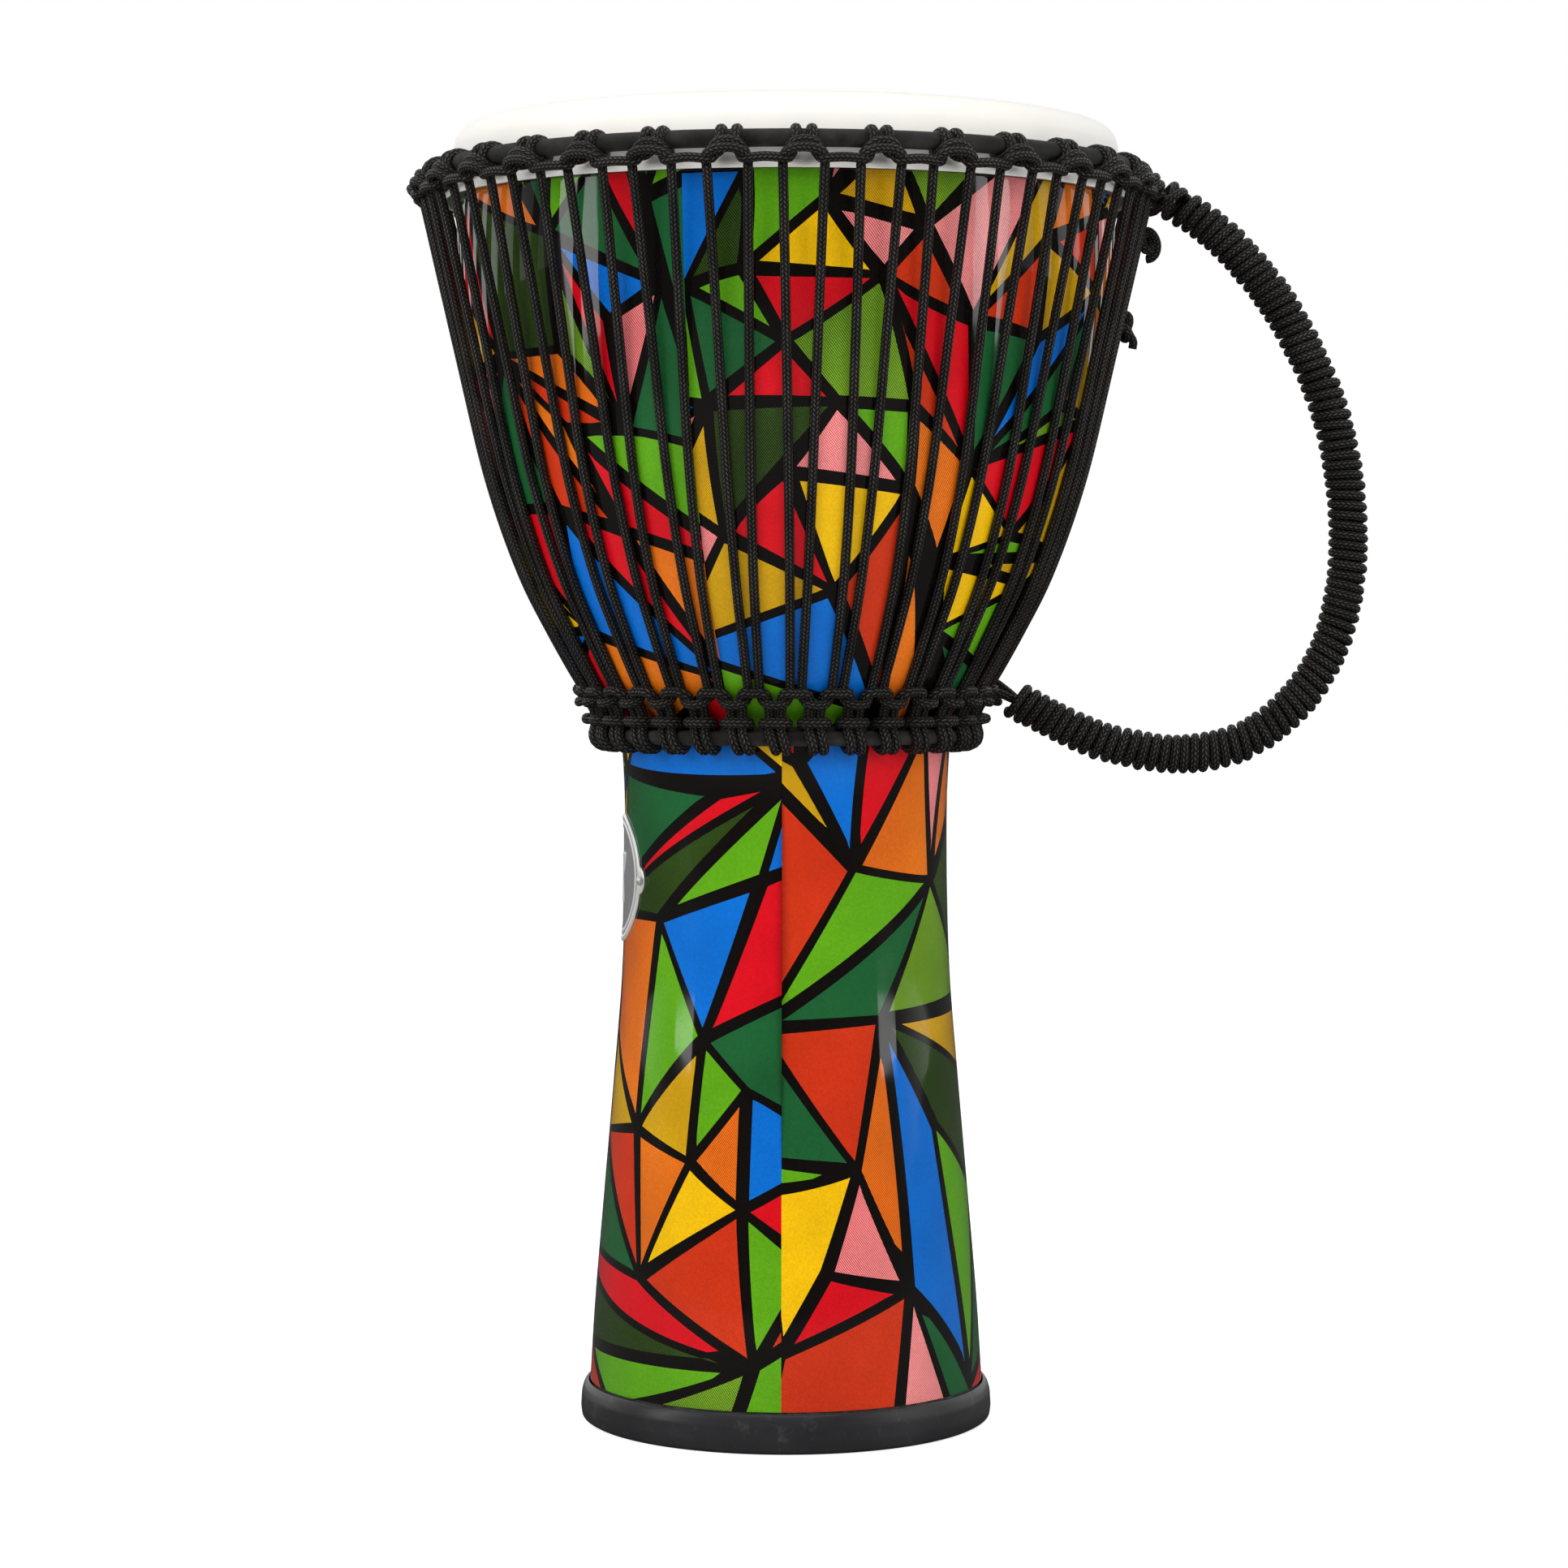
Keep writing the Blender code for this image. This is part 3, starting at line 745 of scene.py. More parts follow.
def make_wrap(name, node, wrap, material):
    """A printed wrap as real geometry: every shard has its own faces, so its edges are crisp."""
    points = grid_spots(wrap)
    edges, kept = [], []
    for shard, bright, deep in wrap.shards():
        clipped = clip(shard, TURN, wrap.top)
        if len(clipped) < 3:
            continue
        first, count = len(points), len(clipped)
        points += clipped
        edges += [(first + corner, first + (corner + 1) % count) for corner in range(count)]
        kept.append((np.array([corner[:] for corner in clipped]), bright, deep))
    made = delaunay_2d_cdt(points, edges, [], 0, 1e-7)
    flat, triangles = made[0], made[2]
    places = np.array([spot[:] for spot in flat])
    middles = places[np.array(triangles)].mean(axis=1)
    owner = owners(middles, [shard for shard, _, _ in kept])
    outer, normals = zip(*[wrap.place(spot) for spot in flat])
    inner = [point - CLOTH * normal for point, normal in zip(outer, normals)]
    count = len(outer)
    front, light, dark, rims = [], [], [], set()
    for triangle, source in zip(triangles, owner):
        a, b, c = (flat[corner] for corner in triangle)
        if abs((b - a).cross(c - a)) < 1e-12:
            continue
        order = triangle if (b - a).cross(c - a) > 0 else triangle[::-1]
        bright, deep = kept[source][1:] if source >= 0 else (INK, INK)
        front.append(tuple(order))
        light.append(linear(*bright))
        dark.append(linear(*deep))
        rims.update(pairs(order))
    faces = front + [tuple(corner + count for corner in face[::-1]) for face in front]
    for face in front:
        for start, end in pairs(face):
            if (end, start) not in rims:
                faces.append((end, start, start + count, end + count))
    plain = [linear(*INK)] * (len(faces) - len(front))
    mesh = bpy.data.meshes.new(name)
    mesh.from_pydata([*outer, *inner], [], faces)
    for label, values in (("print_light", light + plain), ("print_dark", dark + plain)):
        layer = mesh.attributes.new(label, "FLOAT_COLOR", "FACE")
        layer.data.foreach_set("color", np.asarray(values, np.float32).ravel())
    layer = mesh.uv_layers.new(name="cloth")
    spots = np.array([(spot[0] * wrap.scale, spot[1] * wrap.scale) for spot in flat] * 2, np.float32)
    corners = np.zeros(len(mesh.loops), np.int32)
    mesh.loops.foreach_get("vertex_index", corners)
    layer.data.foreach_set("uv", spots[corners].ravel())
    mesh.shade_smooth()
    mesh.normals_split_custom_set_from_vertices([*normals, *(-normal for normal in normals)])
    add_piece(name, mesh, material, "drum", "printed_cloth", node)


# ---------------------------------------------------------------- lacing
HITCHES = 32
PITCH = 360.0 / HITCHES
ROPE = 0.0022
HANDLE_ANGLE = 90.0
CROWN_R, CROWN_Z, CROWN_BAR = ring_of("crown_ring_sleeve")
BASE_R, BASE_Z, BASE_BAR = ring_of("base_ring_sleeve")
BASE_R -= 0.0005

# One side of a hitch, from the hanging loop in: the loop's arc, radius and height, then the arc and reach of
# the turns around the ring, all in mm, and their bend in degrees
CROWN_LOOP_SIDE = ((9.0, 176.4, 581.8), (6.4, 174.9, 582.0))
CROWN_TURN_SIDE = (
    (4.3, 7.0, -45), (3.5, 6.0, -10), (3.4, 4.8, 30), (3.5, 3.9, 70), (3.5, 3.9, 110), (3.5, 5.2, 150),
    (3.9, 6.2, 190), (5.0, 6.3, 230), (6.4, 6.5, 262), (7.4, 7.2, 290), (7.1, 8.2, 314), (5.6, 8.8, 334),
    (3.1, 9.1, 346), (0.0, 9.1, 349),
)
BASE_LOOP_SIDE = ((4.7, 99.6, 347.2), (3.0, 96.6, 344.6), (2.4, 91.9, 337.6))
BASE_TURN_SIDE = (
    (2.4, 5.8, 38), (2.4, 5.4, 5), (2.4, 5.6, -35), (2.4, 5.6, -75), (2.4, 5.6, -115), (2.6, 5.6, -155),
    (2.9, 5.6, -195), (3.6, 5.6, -235), (4.6, 6.0, -264), (5.4, 7.6, -291), (4.9, 9.8, -311),
    (2.9, 11.2, -319), (0.0, 11.5, -320),
)
CROWN_MIDDLE = (0.1771, 0.5822)
BASE_MIDDLE = (0.0995, 0.3474)
BASE_LEAN = -180.0
# The tension rope's bights: arc, radius and height in mm, and the radius that the arc is measured on
UPPER_BIGHT = ((0.0, 179.0, 586.2), (4.7, 178.8, 585.7), (8.3, 177.0, 583.9), (9.3, 173.7, 580.6)), 0.1755
LOWER_BIGHT = ((6.9, 95.7, 346.2), (5.8, 96.0, 343.9), (3.6, 98.2, 342.2), (0.0, 99.5, 341.6)), 0.0975
LEG_TOP = (9.1, 0.1723, 0.5770)
LEG_FOOT = (2.55, 0.0945, 0.3475)
LEG_LANDS = 0.462
LEG_HEIGHTS = (0.577, 0.540, 0.500, LEG_LANDS, 0.440, 0.418, 0.396, 0.376, 0.360, LEG_FOOT[2])
LEG_GAP = 0.0001
SWAY_LOW, SWAY_SPAN = 0.35, 0.23
HANDLE_PULL_TOP = 0.0026
HANDLE_PULL_BOTTOM = 0.0020
PULL_FADES = 4.2
HITCH_STEP, LEG_STEP = 0.0016, 0.0018


def arc_degrees(arc, radius):
    return math.degrees(arc * MM / radius)


def stations_of(spots, ring_radius):
    """Millimetre spots (arc, radius, height) beside a ring as (degrees, radius, height)."""
    return [(arc_degrees(arc, ring_radius), radius * MM, height * MM) for arc, radius, height in spots]


def hitch_side(ring_radius, ring_height, loops, turns):
    """Half of a cow hitch as (degrees, radius, height), from the hanging loop to the cross-bar's middle."""
    side = stations_of(loops, ring_radius)
    for arc, reach, bend in turns:
        turn = math.radians(bend)
        radius = ring_radius + reach * MM * math.cos(turn)
        side.append((arc_degrees(arc, ring_radius), radius, ring_height + reach * MM * math.sin(turn)))
    return side


def loop_rope_route(side, middle, first, pull, lean, chance):
    """The rope hitched all the way round a ring. Its turns lean by some degrees per metre of height."""
    route = []
    for hitch in range(HITCHES):
        centre = (hitch + first) * PITCH
        loop = centre - PITCH / 2
        shift, sag = chance.uniform(-0.10, 0.10), chance.uniform(-0.0005, 0.0005)
        pulled = pull if loop == HANDLE_ANGLE else 0.0
        route.append(around(loop, middle[0] + pulled, middle[1] + sag))
        for sign, stations in ((-1, side), (1, side[-2::-1])):
            for angle, radius, height in stations:
                leaning = lean * min(0.0, height - side[-1][2] + 0.004)
                route.append(around(centre + shift + sign * angle + leaning, radius, height))
    return smooth_route(route, HITCH_STEP, True)


def leg_stations(skin):
    """One straight-then-resting leg of the tension rope, top to foot, as (degrees, radius, height)."""
    (top_arc, top_radius, top_height), (foot_arc, foot_radius, foot_height) = LEG_TOP, LEG_FOOT
    top_angle = arc_degrees(top_arc, top_radius)
    foot_angle = arc_degrees(foot_arc, foot_radius)
    stand = ROPE + LEG_GAP
    landing = float(hermite(skin, LEG_LANDS)) + stand
    stations = []
    for height in LEG_HEIGHTS:
        share = (top_height - height) / (top_height - foot_height)
        straight = (height - LEG_LANDS) / (top_height - LEG_LANDS)
        radius = landing + straight * (top_radius - landing)
        if height < LEG_LANDS:
            radius = float(hermite(skin, height)) + stand
        stations.append((top_angle + share * (foot_angle - top_angle), radius, height))
    return stations


def tension_route(skin, chance):
    """The long rope that zigzags between the crown loops and the base loops."""
    side = stations_of(*UPPER_BIGHT) + leg_stations(skin)
    half = stations_of(*LOWER_BIGHT)
    route = []
    for hitch in range(HITCHES):
        centre = (hitch + 0.5) * PITCH
        shift = chance.uniform(-0.12, 0.12)
        for sign, stations in ((-1, side[:0:-1]), (1, side)):
            for angle, radius, height in stations:
                sway = shift * (height - SWAY_LOW) / SWAY_SPAN
                route.append(around(centre + sign * angle + sway, radius, height))
        below = centre + PITCH / 2
        pull = HANDLE_PULL_BOTTOM if below == HANDLE_ANGLE else 0.0
        for sign, stations in ((-1, half), (1, half[-2::-1])):
            for angle, radius, height in stations:
                pulled = radius + pull * (1 - angle / PULL_FADES)
                route.append(around(below + sign * angle, pulled, height))
    return smooth_route(route, LEG_STEP, True)


def make_lacing(rope):
    chance = random.Random(11)
    crown = hitch_side(CROWN_R, CROWN_Z, CROWN_LOOP_SIDE, CROWN_TURN_SIDE)
    route = loop_rope_route(crown, CROWN_MIDDLE, 0.5, HANDLE_PULL_TOP, 0.0, chance)
    swell = [ROPE * (1 + 0.2 * min(1.0, max(0.0, (spot.z - CROWN_Z - 0.001) / 0.003))) for spot in route]
    add_rope("crown_lacing", route, swell, rope, "crown_loop_rope", closed=True)
    base = hitch_side(BASE_R, BASE_Z, BASE_LOOP_SIDE, BASE_TURN_SIDE)
    route = loop_rope_route(base, BASE_MIDDLE, 0.0, 0.0, BASE_LEAN, chance)
    add_rope("base_lacing", route, 1.1 * ROPE, rope, "base_loop_rope", closed=True)
    route = tension_route(outline_of("bowl_fabric"), chance)
    add_rope("tension_lacing", route, ROPE, rope, "tension_rope", closed=True)


SLEEVE_STEPS = 384
SLEEVE_WOBBLE = 0.012


def make_ring_sleeve(name, radius, height, bar, material, node):
    """A cloth-covered ring, slightly uneven like hand-wrapped cloth."""
    chance = random.Random(5)
    phases = [chance.uniform(0, TURN) for _ in range(4)]
    route, sizes = [], []
    for index in range(SLEEVE_STEPS):
        turn = 2 * math.pi * index / SLEEVE_STEPS
        wobble = sum(math.sin((7 + 6 * k) * turn + phase) for k, phase in enumerate(phases)) / 4
        route.append(around(math.degrees(turn), radius, height))
        sizes.append(bar * (1 + SLEEVE_WOBBLE * wobble))
    mesh = tube(name, route, sizes, 24, True, 1 / 0.004)
    add_piece(name, mesh, material, "drum", "black_cloth", node)


# ---------------------------------------------------------------- handle
# The handle's centre line: distance from the drum's axis, and height
HANDLE_ROUTE = (
    (0.1874, 0.5782), (0.1990, 0.5702), (0.2130, 0.5580), (0.2321, 0.5350), (0.2456, 0.5120),
    (0.2552, 0.4909), (0.2617, 0.4704), (0.2664, 0.4440), (0.2678, 0.4170), (0.2656, 0.3924),
    (0.2581, 0.3656), (0.2419, 0.3407), (0.2172, 0.3225), (0.1866, 0.3166), (0.1561, 0.3213),
    (0.1417, 0.3263), (0.1284, 0.3326), (0.1188, 0.3376), (0.1078, 0.3434),
)
WINDING_PITCH = 0.00485
WINDING_REACH = 0.0073
WINDING_ROPE = 0.00222
WINDING_START = 0.0014
WINDING_END = 0.0018
WINDING_PHASE = 0.6
TURN_STEPS = 20
CORE_START = 0.0045
CORE_END = 0.0080
CORE_TAPER = 0.0060
CORE_RADIUS = 0.0050
TIE_ROPE = 0.0021
ROPE_STEP = 0.001


def lengths_along(path):
    return np.concatenate([[0.0], np.cumsum(np.linalg.norm(np.diff(path, axis=0), axis=1))])


def coil(path, along, chance):
    """Rope turns wound round a path, each a little uneven in place, size and tilt."""
    start, end = WINDING_START, along[-1] - WINDING_END
    turns = max(1, round((end - start) / WINDING_PITCH))
    stretch = np.cumsum([0.0] + [chance.uniform(0.9, 1.1) for _ in range(turns)])
    stretch /= stretch[-1]
    size = np.array([WINDING_REACH + chance.uniform(-0.0003, 0.0003) for _ in range(turns + 1)])
    tilt = np.array([chance.uniform(-0.0005, 0.0005) for _ in range(turns + 1)])
    whole = np.arange(turns + 1)
    sideways = np.array((0.0, 1.0, 0.0))
    route = []
    for step in range(turns * TURN_STEPS + 1):
        number = step / TURN_STEPS
        turn = 2 * math.pi * number + WINDING_PHASE
        spot = start + np.interp(number, whole, stretch) * (end - start)
        spot += np.interp(number, whole, tilt) * math.cos(turn)
        spot = min(max(spot, 0.0), along[-1] - 1e-3)
        centre = np.array([np.interp(spot, along, path[:, axis]) for axis in range(3)])
        ahead = np.array([np.interp(spot + 1e-3, along, path[:, axis]) for axis in range(3)]) - centre
        ahead /= np.linalg.norm(ahead)
        spoke = math.cos(turn) * np.cross(ahead, sideways) + math.sin(turn) * sideways
        route.append(Vector(centre + np.interp(number, whole, size) * spoke))
    return route


def make_handle(rope):
    """The wound carrying handle: a tapered rope core with close turns of rope round it."""
    fine = smooth_route([Vector((AXIS_X + radius, 0, height)) for radius, height in HANDLE_ROUTE], ROPE_STEP)
    path = np.array([point[:] for point in fine])
    along = lengths_along(path)
    core, sizes = [], []
    for spot, at in zip(fine, along):
        inside = min(at - CORE_START, along[-1] - CORE_END - at)
        if inside >= 0:
            core.append(spot)
            sizes.append(CORE_RADIUS * (0.3 + 0.7 * min(1.0, inside / CORE_TAPER) ** 0.5))
    add_rope("handle_core_rope", core, sizes, rope, "handle_core", 16, body="handle")
    route = coil(path, along, random.Random(23))
    add_rope("handle_wound_rope", route, WINDING_ROPE, rope, "handle_winding", 10, body="handle")


# In millimetres from the drum's axis: the upper eye's two ends, and the lower eye's way from the lacing into
# the handle's hollow end and back
UPPER_START = ((173.5, 3.0, 586.0), (176.6, 4.4, 584.6))
UPPER_END = ((177.0, 3.4, 576.5), (173.6, 1.5, 575.0))
EYE_MIDDLE = (183.4, 0, 580.4)
EYE_AHEAD = (0.78, 0, -0.62)
EYE_REACH, EYE_SWING, EYE_LIFT = 7.0, 3.9, 1.9
EYE_STEPS = 32
LOWER_EYE = (
    (96.4, 3.2, 352.4), (100.6, 3.2, 350.4), (104.2, 2.4, 347.8), (107.2, 2.0, 345.4), (109.0, 1.3, 343.8),
    (109.6, 0.0, 343.0), (108.8, -1.4, 342.8), (106.8, -2.0, 343.6), (103.8, -2.6, 345.0),
    (100.4, -3.2, 346.4), (96.2, -2.8, 347.4),
)


def eye_route():
    """Two crossing turns round the handle's end, with both ends led back under the lacing."""
    ahead = Vector(EYE_AHEAD).normalized()
    front = Vector((0, -1, 0))
    upright = ahead.cross(front)
    route = [Vector(point) for point in UPPER_START]
    for step in range(EYE_STEPS + 1):
        turn = (-1 + 4 * step / EYE_STEPS) * math.pi
        lift = EYE_LIFT * math.exp(-((turn - 2 * math.pi) / 0.9) ** 2)
        spoke = (EYE_REACH + lift) * (math.cos(turn) * front + math.sin(turn) * upright)
        route.append(Vector(EYE_MIDDLE) + EYE_SWING * math.sin(turn / 2) * ahead + spoke)
    return [*route, *UPPER_END]


def make_ties(rope):
    eyes = (("upper_eye", "handle_upper_tie", eye_route()), ("lower_eye", "handle_lower_tie", LOWER_EYE))
    for name, node, route in eyes:
        route = smooth_route([AXIS + MM * Vector(point) for point in route], ROPE_STEP)
        add_rope(name, route, TIE_ROPE, rope, node)


# ---------------------------------------------------------------- small pieces
# Out from the outermost leg, up, and towards the camera, in millimetres, ending at the cut
UPPER_KNOT = (
    (-6.0, 4.0, -3.0), (-2.4, 3.4, -3.6), (0.8, 2.0, -3.2), (2.2, -0.4, -0.6), (1.2, -3.4, 2.8),
    (-1.4, -2.8, 3.6), (-2.0, 2.4, 2.4), (0.0, 5.8, 0.6), (2.8, 4.8, 0.0), (4.9, 1.2, -0.4),
    (5.2, -2.4, -0.4), (4.2, -5.4, 0.0), (2.2, -7.2, 0.6), (0.2, -7.6, 1.0),
)
LOWER_KNOT = (
    (-5.5, 1.5, 3.0), (-2.0, 0.8, 3.6), (0.2, -1.6, 3.0), (0.4, -4.0, 0.0), (-1.2, -4.6, -3.0),
    (-2.8, -1.0, -3.0), (-2.6, 4.0, -2.0), (-0.8, 6.8, -0.4), (0.9, 5.2, 0.4), (1.0, 2.4, 0.6),
    (0.2, -0.4, 0.6), (1.6, -3.6, 0.2), (3.0, -6.4, 0.0), (2.6, -9.6, 0.0),
)


def make_end_knot(name, node, rope, leg, bends):
    """A rope's end, knotted on itself beside the outermost leg and cut off square."""
    low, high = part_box(node)
    centre = (low + high) / 2
    out = around(bearing(centre), 1.0, 0.0) - AXIS
    front = Vector((out.y, -out.x, 0))
    route = []
    for apart, height, near in bends:
        route.append(centre + MM * ((apart - leg) * out + near * front + height * Vector((0, 0, 1))))
    add_rope(name, smooth_route(route, ROPE_STEP), TIE_ROPE, rope, node)


BADGE_RINGS = (
    # share of the radius, height in mm, bright (1) or dark (0)
    (0.0, 0.55, 0), (0.80, 0.55, 0), (0.815, 1.0, 1), (0.865, 1.0, 1), (0.88, 0.62, 0.2), (0.90, 0.62, 0.2),
    (0.915, 1.15, 1), (0.965, 1.25, 1), (0.99, 1.0, 1), (1.0, 0.6, 1),
)
BADGE_SIDES = 144
BADGE_SEAT = 0.0002
BADGE_EAR = 0.0042
BADGE_RELIEF = 0.4
BADGE_FLATTEN = 0.72
GOBLET_TOP = 12.0
# Height and half-width of the goblet, in mm
GOBLET = ((-12, 6.0), (-9.5, 5.0), (-2, 3.0), (1, 3.4), (5, 8.2), (10, 9.6), (12, 9.6))


def goblet(across, up):
    """How far inside a plain goblet outline a point lies, in millimetres: the badge's generic relief."""
    if not -GOBLET_TOP < up < GOBLET_TOP:
        return -1.0
    half = np.interp(up, *zip(*GOBLET))
    return float(min(half - abs(across), GOBLET_TOP - abs(up)))


def make_badge(material):
    """The round plate bent to the stem, with a double rim and a plain goblet in relief."""
    low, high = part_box("badge")
    middle = (low + high) / 2
    angle = bearing(middle)
    skin = outline_of("stem_fabric")
    radius = (high.z - low.z) / 2
    places, heights, brights = zip(*BADGE_RINGS)
    shares = sorted({round(share, 4) for share in (*np.linspace(0, 0.8, 56), *places[1:])})
    points, raised, rows = [], [], []
    for share, lifted in [*((share, 1) for share in shares), (1.0, 0)]:
        row = []
        for side in range(BADGE_SIDES if share else 1):
            turn = 2 * math.pi * side / BADGE_SIDES
            ear = max(0.0, math.cos(turn) ** 2 - 0.955) / 0.045
            reach = share * radius + (BADGE_EAR * ear ** 0.7 * max(0.0, (share - 0.9) / 0.1))
            across, up = reach * math.cos(turn), reach * math.sin(turn)
            relief = lifted * min(1.0, max(0.0, goblet(across / MM, up / MM) / 0.45 + 0.5))
            height = lifted * float(np.interp(share, places, heights))
            seat = float(hermite(skin, middle.z + up)) + BADGE_SEAT
            lift = BADGE_FLATTEN * (height + BADGE_RELIEF * relief) * MM
            points.append(around(angle + math.degrees(across / seat), seat + lift, middle.z + up))
            raised.append(max(float(np.interp(share, places, brights)), relief))
            row.append(len(points) - 1)
        rows.append(row)
    faces = [(rows[0][0], a, b) for a, b in pairs(rows[1])]
    for inner, outer in zip(rows[1:], rows[2:]):
        faces += [(a, c, d, b) for (a, b), (c, d) in zip(pairs(inner), pairs(outer))]
    faces.append(tuple(rows[-1][::-1]))
    mesh = bpy.data.meshes.new("badge_plate")
    mesh.from_pydata(points, [], faces)
    layer = mesh.attributes.new("raised", "FLOAT", "POINT")
    layer.data.foreach_set("value", np.asarray(raised, np.float32))
    shape = bmesh.new()
    shape.from_mesh(mesh)
    add_piece("badge_plate", finished(shape, "badge_plate", 50), material, "drum", "nickel", "badge")


NAIL_SIDES = 28
NAIL_RADIUS, NAIL_HEIGHT, NAIL_SUNK = 0.0022, 0.0014, 0.0008
NAIL_SHARES = (0.0, 0.15, 0.35, 0.55, 0.75, 0.9)


def make_nail(name, node, material):
    """A domed nail head that faces away from the stem."""
    low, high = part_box(node)
    centre = (low + high) / 2
    out = Vector((centre.x - AXIS_X, centre.y, 0)).normalized()
    side = Vector((-out.y, out.x, 0))
    up = Vector((0, 0, 1))
    sunk = math.hypot(centre.x - AXIS_X, centre.y) - NAIL_SUNK
    base = Vector((AXIS_X, 0, centre.z)) + out * sunk
    shape = bmesh.new()
    rims = []
    for share in NAIL_SHARES:
        size = NAIL_RADIUS * math.cos(share * math.pi / 2)
        lift = NAIL_HEIGHT * math.sin(share * math.pi / 2)
        rim = []
        for corner in range(NAIL_SIDES):
            turn = 2 * math.pi * corner / NAIL_SIDES
            spoke = size * (math.cos(turn) * side + math.sin(turn) * up)
            rim.append(shape.verts.new(base + out * lift + spoke))
        rims.append(rim)
    for first, second in zip(rims, rims[1:]):
        for (a, b), (c, d) in zip(pairs(first), pairs(second)):
            shape.faces.new((a, b, d, c))
    shape.faces.new(rims[0])
    shape.faces.new(rims[-1])
    add_piece(name, finished(shape, name, 60), material, "drum", "nickel", node)


# Turned outlines as (radius, height) of the shell's top and of the foot, and (radius, drop) of the head
SHELL_FOOT = 0.0935
SHELL_TOP = ((0.1568, 0.580), (0.1568, 0.604))
SHELL_EDGE = ((0.1558, 0.6080), (0.1545, 0.6104), (0.1530, 0.6114), (0.1518, 0.6100), (0.1512, 0.6060))
SHELL_WALL = 0.0055
SHELL_GAP = 0.0010
SHELL_STEPS = 35
HEAD_OUTLINE = (
    (0.0, 0.0), (0.1440, 0.0), (0.1500, -0.0003), (0.1545, -0.0017), (0.1574, -0.0050), (0.1587, -0.0102),
    (0.1588, -0.0200), (0.1588, -0.0274), (0.1599, -0.0299), (0.1622, -0.0316), (0.1636, -0.0330),
    (0.1641, -0.0345), (0.1640, -0.0360), (0.1629, -0.0360), (0.1624, -0.0334), (0.1590, -0.0308),
    (0.1575, -0.0274), (0.1574, -0.0102), (0.1560, -0.0054), (0.1536, -0.0027), (0.1495, -0.0014),
    (0.0, -0.0014),
)
FOOT_OUTLINE = (
    (0.0840, 0.0), (0.0945, 0.0), (0.0974, 0.0016), (0.0980, 0.0060), (0.0976, 0.0128), (0.0966, 0.0164),
    (0.0953, 0.0184), (0.0941, 0.0184), (0.0939, 0.0052), (0.0874, 0.0050), (0.0872, 0.0118),
    (0.0866, 0.0122), (0.0844, 0.0122),
)


def shell_outline():
    """The goblet shell: smooth outside under the cloth, and the same curve a wall's thickness inside."""
    outside = [(SHELL_FOOT, SHELL_LOW.z)]
    for skin in (outline_of("stem_fabric"), outline_of("bowl_fabric")):
        for height in np.linspace(skin[0][0], skin[-1][0], SHELL_STEPS):
            outside.append((float(hermite(skin, height)) - SHELL_GAP, float(height)))
    outside += SHELL_TOP
    inside = [(radius - SHELL_WALL, height) for radius, height in outside[:-1]][::-1]
    return [*outside, *SHELL_EDGE, *inside]


def make_turned(name, outline, material, slot, node):
    add_piece(name, turned(name, outline), material, "drum", slot, node)


# ---------------------------------------------------------------- stage
CAMERA_DISTANCE = 1.92
CAMERA_HEIGHT = 0.379
CAMERA_TURN = 2.96
FRAME_DROP = -0.1025
AIM_RIGHT = -0.0009
FOCAL = 92.0
WORLD_FRONT, WORLD_BACK = 0.03, 1.0
FLOOR_GLOW = 0.68
FLOOR_HALF = 12.0
LIT_HEIGHT = 0.33
LIGHTS = (
    # name, place, size, power, seen in gloss
    ("left_fill", (-1.4, -1.8, 1.2), (1.3, 1.3), 25, False),
    ("right_fill", (1.5, -1.7, 1.1), (1.3, 1.3), 20, False),
    ("front_fill", (0.1, -2.4, 1.5), (1.2, 0.9), 14, False),
    ("left_softbox", (-1.5, -0.55, 0.8), (0.45, 1.2), 4.5, True),
    ("right_softbox", (1.6, -0.45, 0.8), (0.45, 1.2), 4.0, True),
    ("top_softbox", (-0.1, -0.6, 2.1), (1.8, 1.2), 9, True),
)


def make_camera():
    """A level camera whose frame is moved down, so upright lines stay upright as in the photograph."""
    camera = linked("camera", bpy.data.cameras.new("camera"))
    turn = math.radians(CAMERA_TURN)
    right = Vector((math.cos(turn), math.sin(turn), 0)) * AIM_RIGHT
    spot = around(CAMERA_TURN, CAMERA_DISTANCE, CAMERA_HEIGHT) + right
    aim = Vector((AXIS_X, 0, CAMERA_HEIGHT)) + right
    camera.location = spot
    camera.rotation_euler = (aim - spot).to_track_quat("-Z", "Y").to_euler()
    camera.data.lens = FOCAL
    camera.data.shift_y = FRAME_DROP
    camera.data.sensor_width = 36.0
    camera.data.clip_end = 50.0
    bpy.context.scene.camera = camera


def add_light(name, spot, size, energy, mirrored):
    data = bpy.data.lights.new(name, "AREA")
    data.shape = "RECTANGLE"
    data.size, data.size_y = size
    data.energy = energy
    light = linked(name, data)
    light.location = spot
    aim = Vector((AXIS_X, 0, LIT_HEIGHT))
    light.rotation_euler = (aim - Vector(spot)).to_track_quat("-Z", "Y").to_euler()
    light.visible_glossy = mirrored


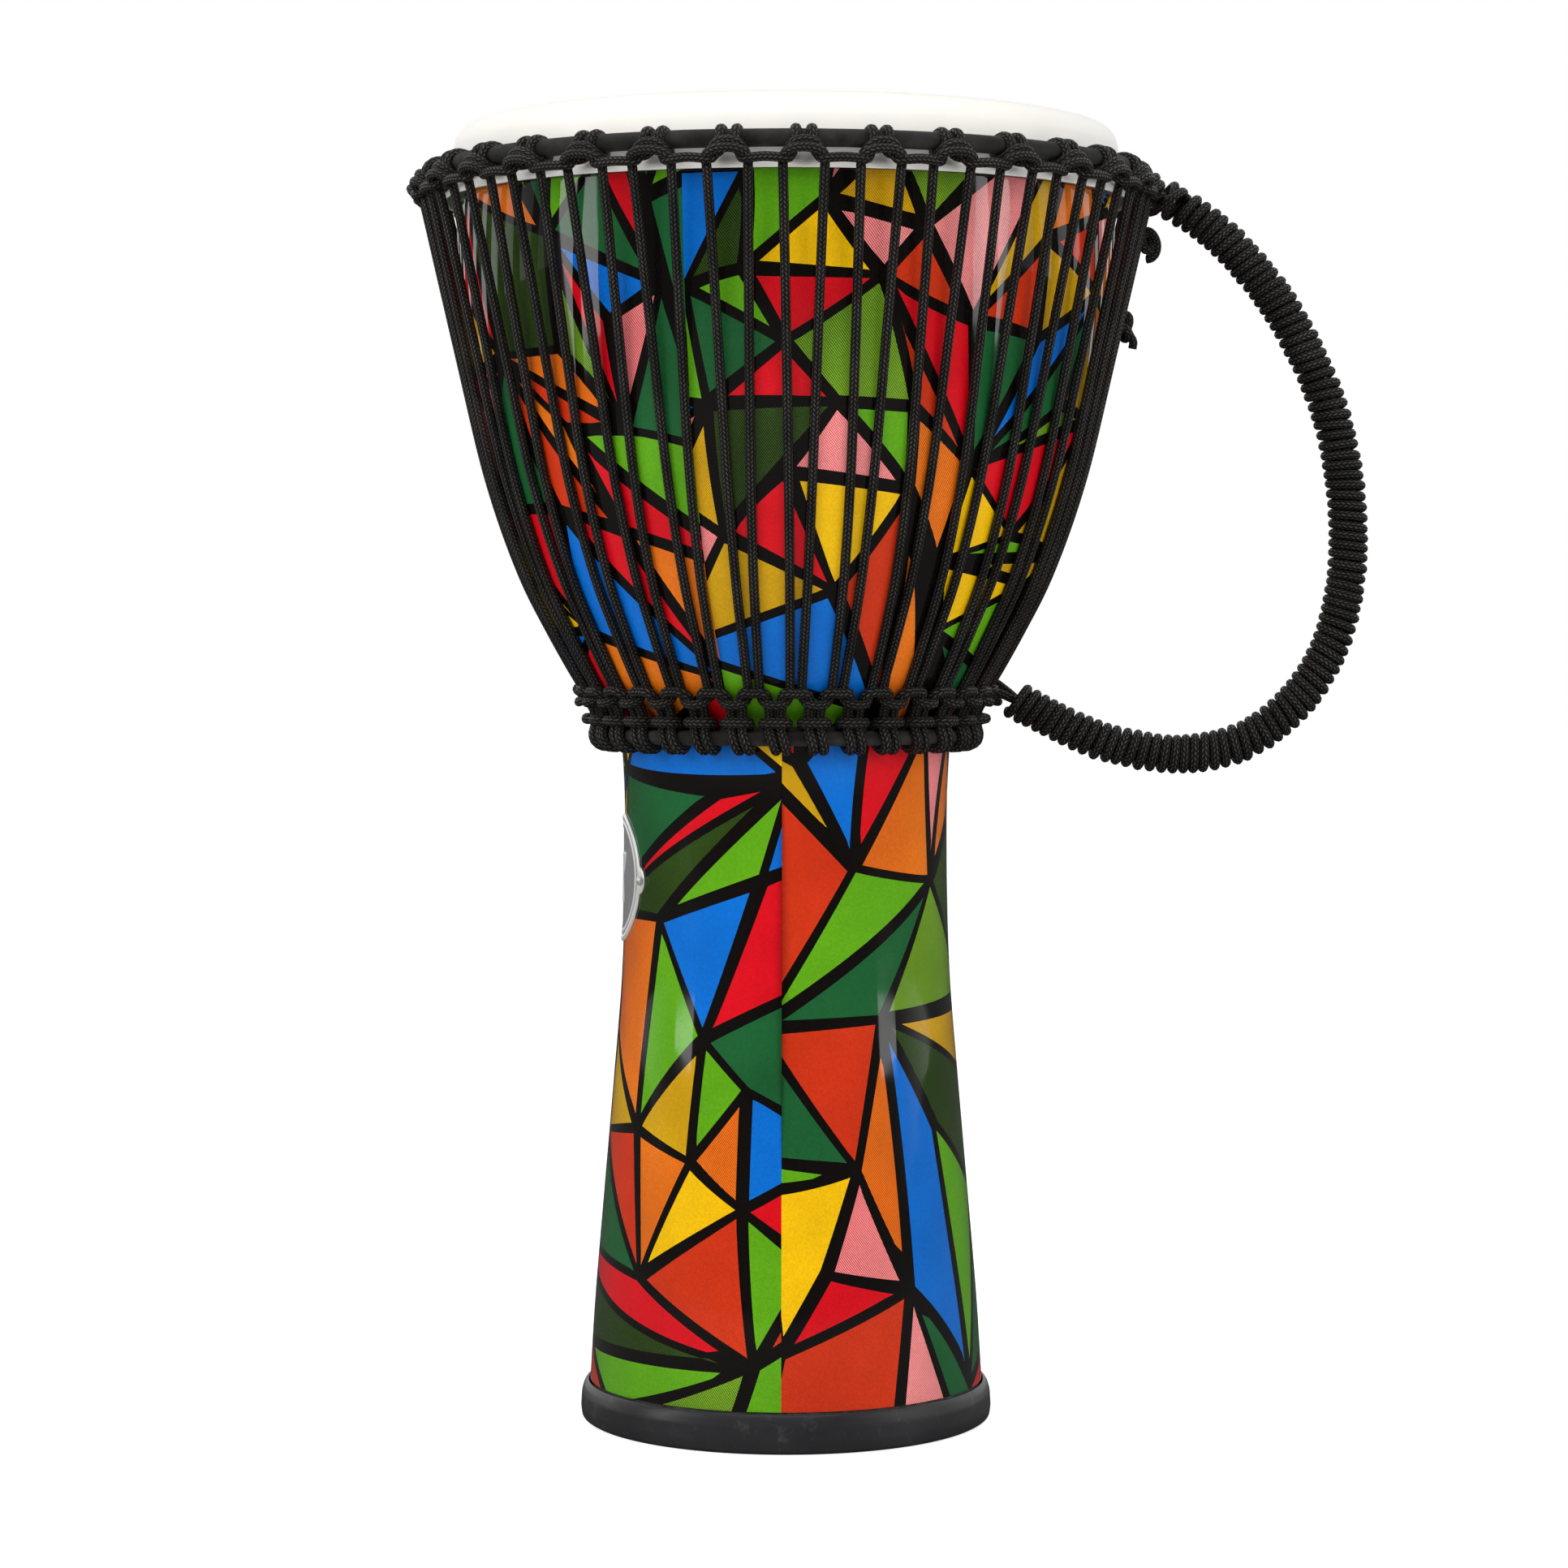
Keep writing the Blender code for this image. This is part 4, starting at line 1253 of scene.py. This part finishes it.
def studio_world():
    """White to the camera; the object is lit by a studio that is bright behind it and dark in front."""
    world = bpy.data.worlds.new("studio")
    world.use_nodes = True
    nodes, links = world.node_tree.nodes, world.node_tree.links
    direction = nodes.new("ShaderNodeSeparateXYZ")
    links.new(nodes.new("ShaderNodeTexCoord").outputs["Generated"], direction.inputs[0])
    fade = nodes.new("ShaderNodeMapRange")
    fade.interpolation_type = "SMOOTHSTEP"
    set_range(fade, -0.25, 0.75, WORLD_FRONT, WORLD_BACK)
    links.new(direction.outputs["Y"], fade.inputs["Value"])
    seen = nodes.new("ShaderNodeMath")
    seen.operation = "MAXIMUM"
    links.new(nodes.new("ShaderNodeLightPath").outputs["Is Camera Ray"], seen.inputs[0])
    links.new(fade.outputs["Result"], seen.inputs[1])
    links.new(seen.outputs[0], nodes["Background"].inputs["Color"])
    nodes["Background"].inputs["Strength"].default_value = 1.0
    bpy.context.scene.world = world


def pale_floor():
    """A white table that glows a little to the camera and is dull to reflections."""
    made = Shader("pale_floor", roughness=0.9)
    path = made.add("LightPath")
    white, dull = (0.94, 0.94, 0.94, 1.0), (0.08, 0.08, 0.08, 1.0)
    made.set("Base Color", made.mix(path.outputs["Is Glossy Ray"], white, dull))
    made.set("Specular IOR Level", 0.0)
    made.set("Emission Color", (1.0, 1.0, 1.0, 1.0))
    made.set("Emission Strength", made.times(path.outputs["Is Camera Ray"], FLOOR_GLOW))
    return made.material


def make_stage():
    studio_world()
    half = FLOOR_HALF
    corners = [(-half, -half, 0), (half, -half, 0), (half, half, 0), (-half, half, 0)]
    floor_mesh = bpy.data.meshes.new("floor")
    floor_mesh.from_pydata(corners, [], [(0, 1, 2, 3)])
    floor_mesh.materials.append(pale_floor())
    floor = linked("floor", floor_mesh)
    for light in LIGHTS:
        add_light(*light)
    bpy.context.scene.view_settings.view_transform = "Standard"


# ---------------------------------------------------------------- assembly
def main():
    # The rope's second colour is the painted highlight on its plait crests.
    rope = braid("braided_rope", linear(14, 13, 12), linear(66, 63, 59))
    nickel = metal("nickel_plate", linear(222, 222, 218), 0.18, 500.0)
    steel = metal("plain_steel", linear(150, 150, 152), 0.35, 300.0)
    make_camera()
    make_turned("drum_shell", shell_outline(), fibreglass(), "fibreglass", "shell")
    print_cloth = lacquered_print()
    make_wrap("stem_wrap", "stem_fabric", Wrap("stem_fabric", 1.6, 52, 0.045), print_cloth)
    bowl = Wrap("bowl_fabric", -14.0, 77, 0.041, [(0.5793, 0.1577)])
    make_wrap("bowl_wrap", "bowl_fabric", bowl, print_cloth)
    head = rounded([(radius, HEAD_TOP + drop) for radius, drop in HEAD_OUTLINE], 0.0016, 3, closed=False)
    make_turned("head_skin", head, head_film(), "white_film", "drum_head")
    foot = rounded(FOOT_OUTLINE, 0.0012)
    make_turned("foot_rubber_ring", foot, foot_rubber(), "black_rubber", "foot_ring")
    cloth = ring_cloth()
    make_ring_sleeve("crown_sleeve", CROWN_R, CROWN_Z, CROWN_BAR, cloth, "crown_ring_sleeve")
    make_ring_sleeve("base_sleeve", BASE_R, BASE_Z, BASE_BAR, cloth, "base_ring_sleeve")
    make_lacing(rope)
    make_handle(rope)
    make_ties(rope)
    make_end_knot("upper_stopper_knot", "upper_rope_end_knot", rope, 3.9, UPPER_KNOT)
    make_end_knot("lower_stopper_knot", "lower_rope_end_knot", rope, 4.0, LOWER_KNOT)
    make_badge(badge_metal())
    make_nail("left_nail", "left_badge_nail", nickel)
    make_nail("right_nail", "right_badge_nail", nickel)
    for node in ("crown_ring", "base_ring", "flesh_hoop"):
        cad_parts[node].data.materials.clear()
        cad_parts[node].data.materials.append(steel)
    make_stage()


main()
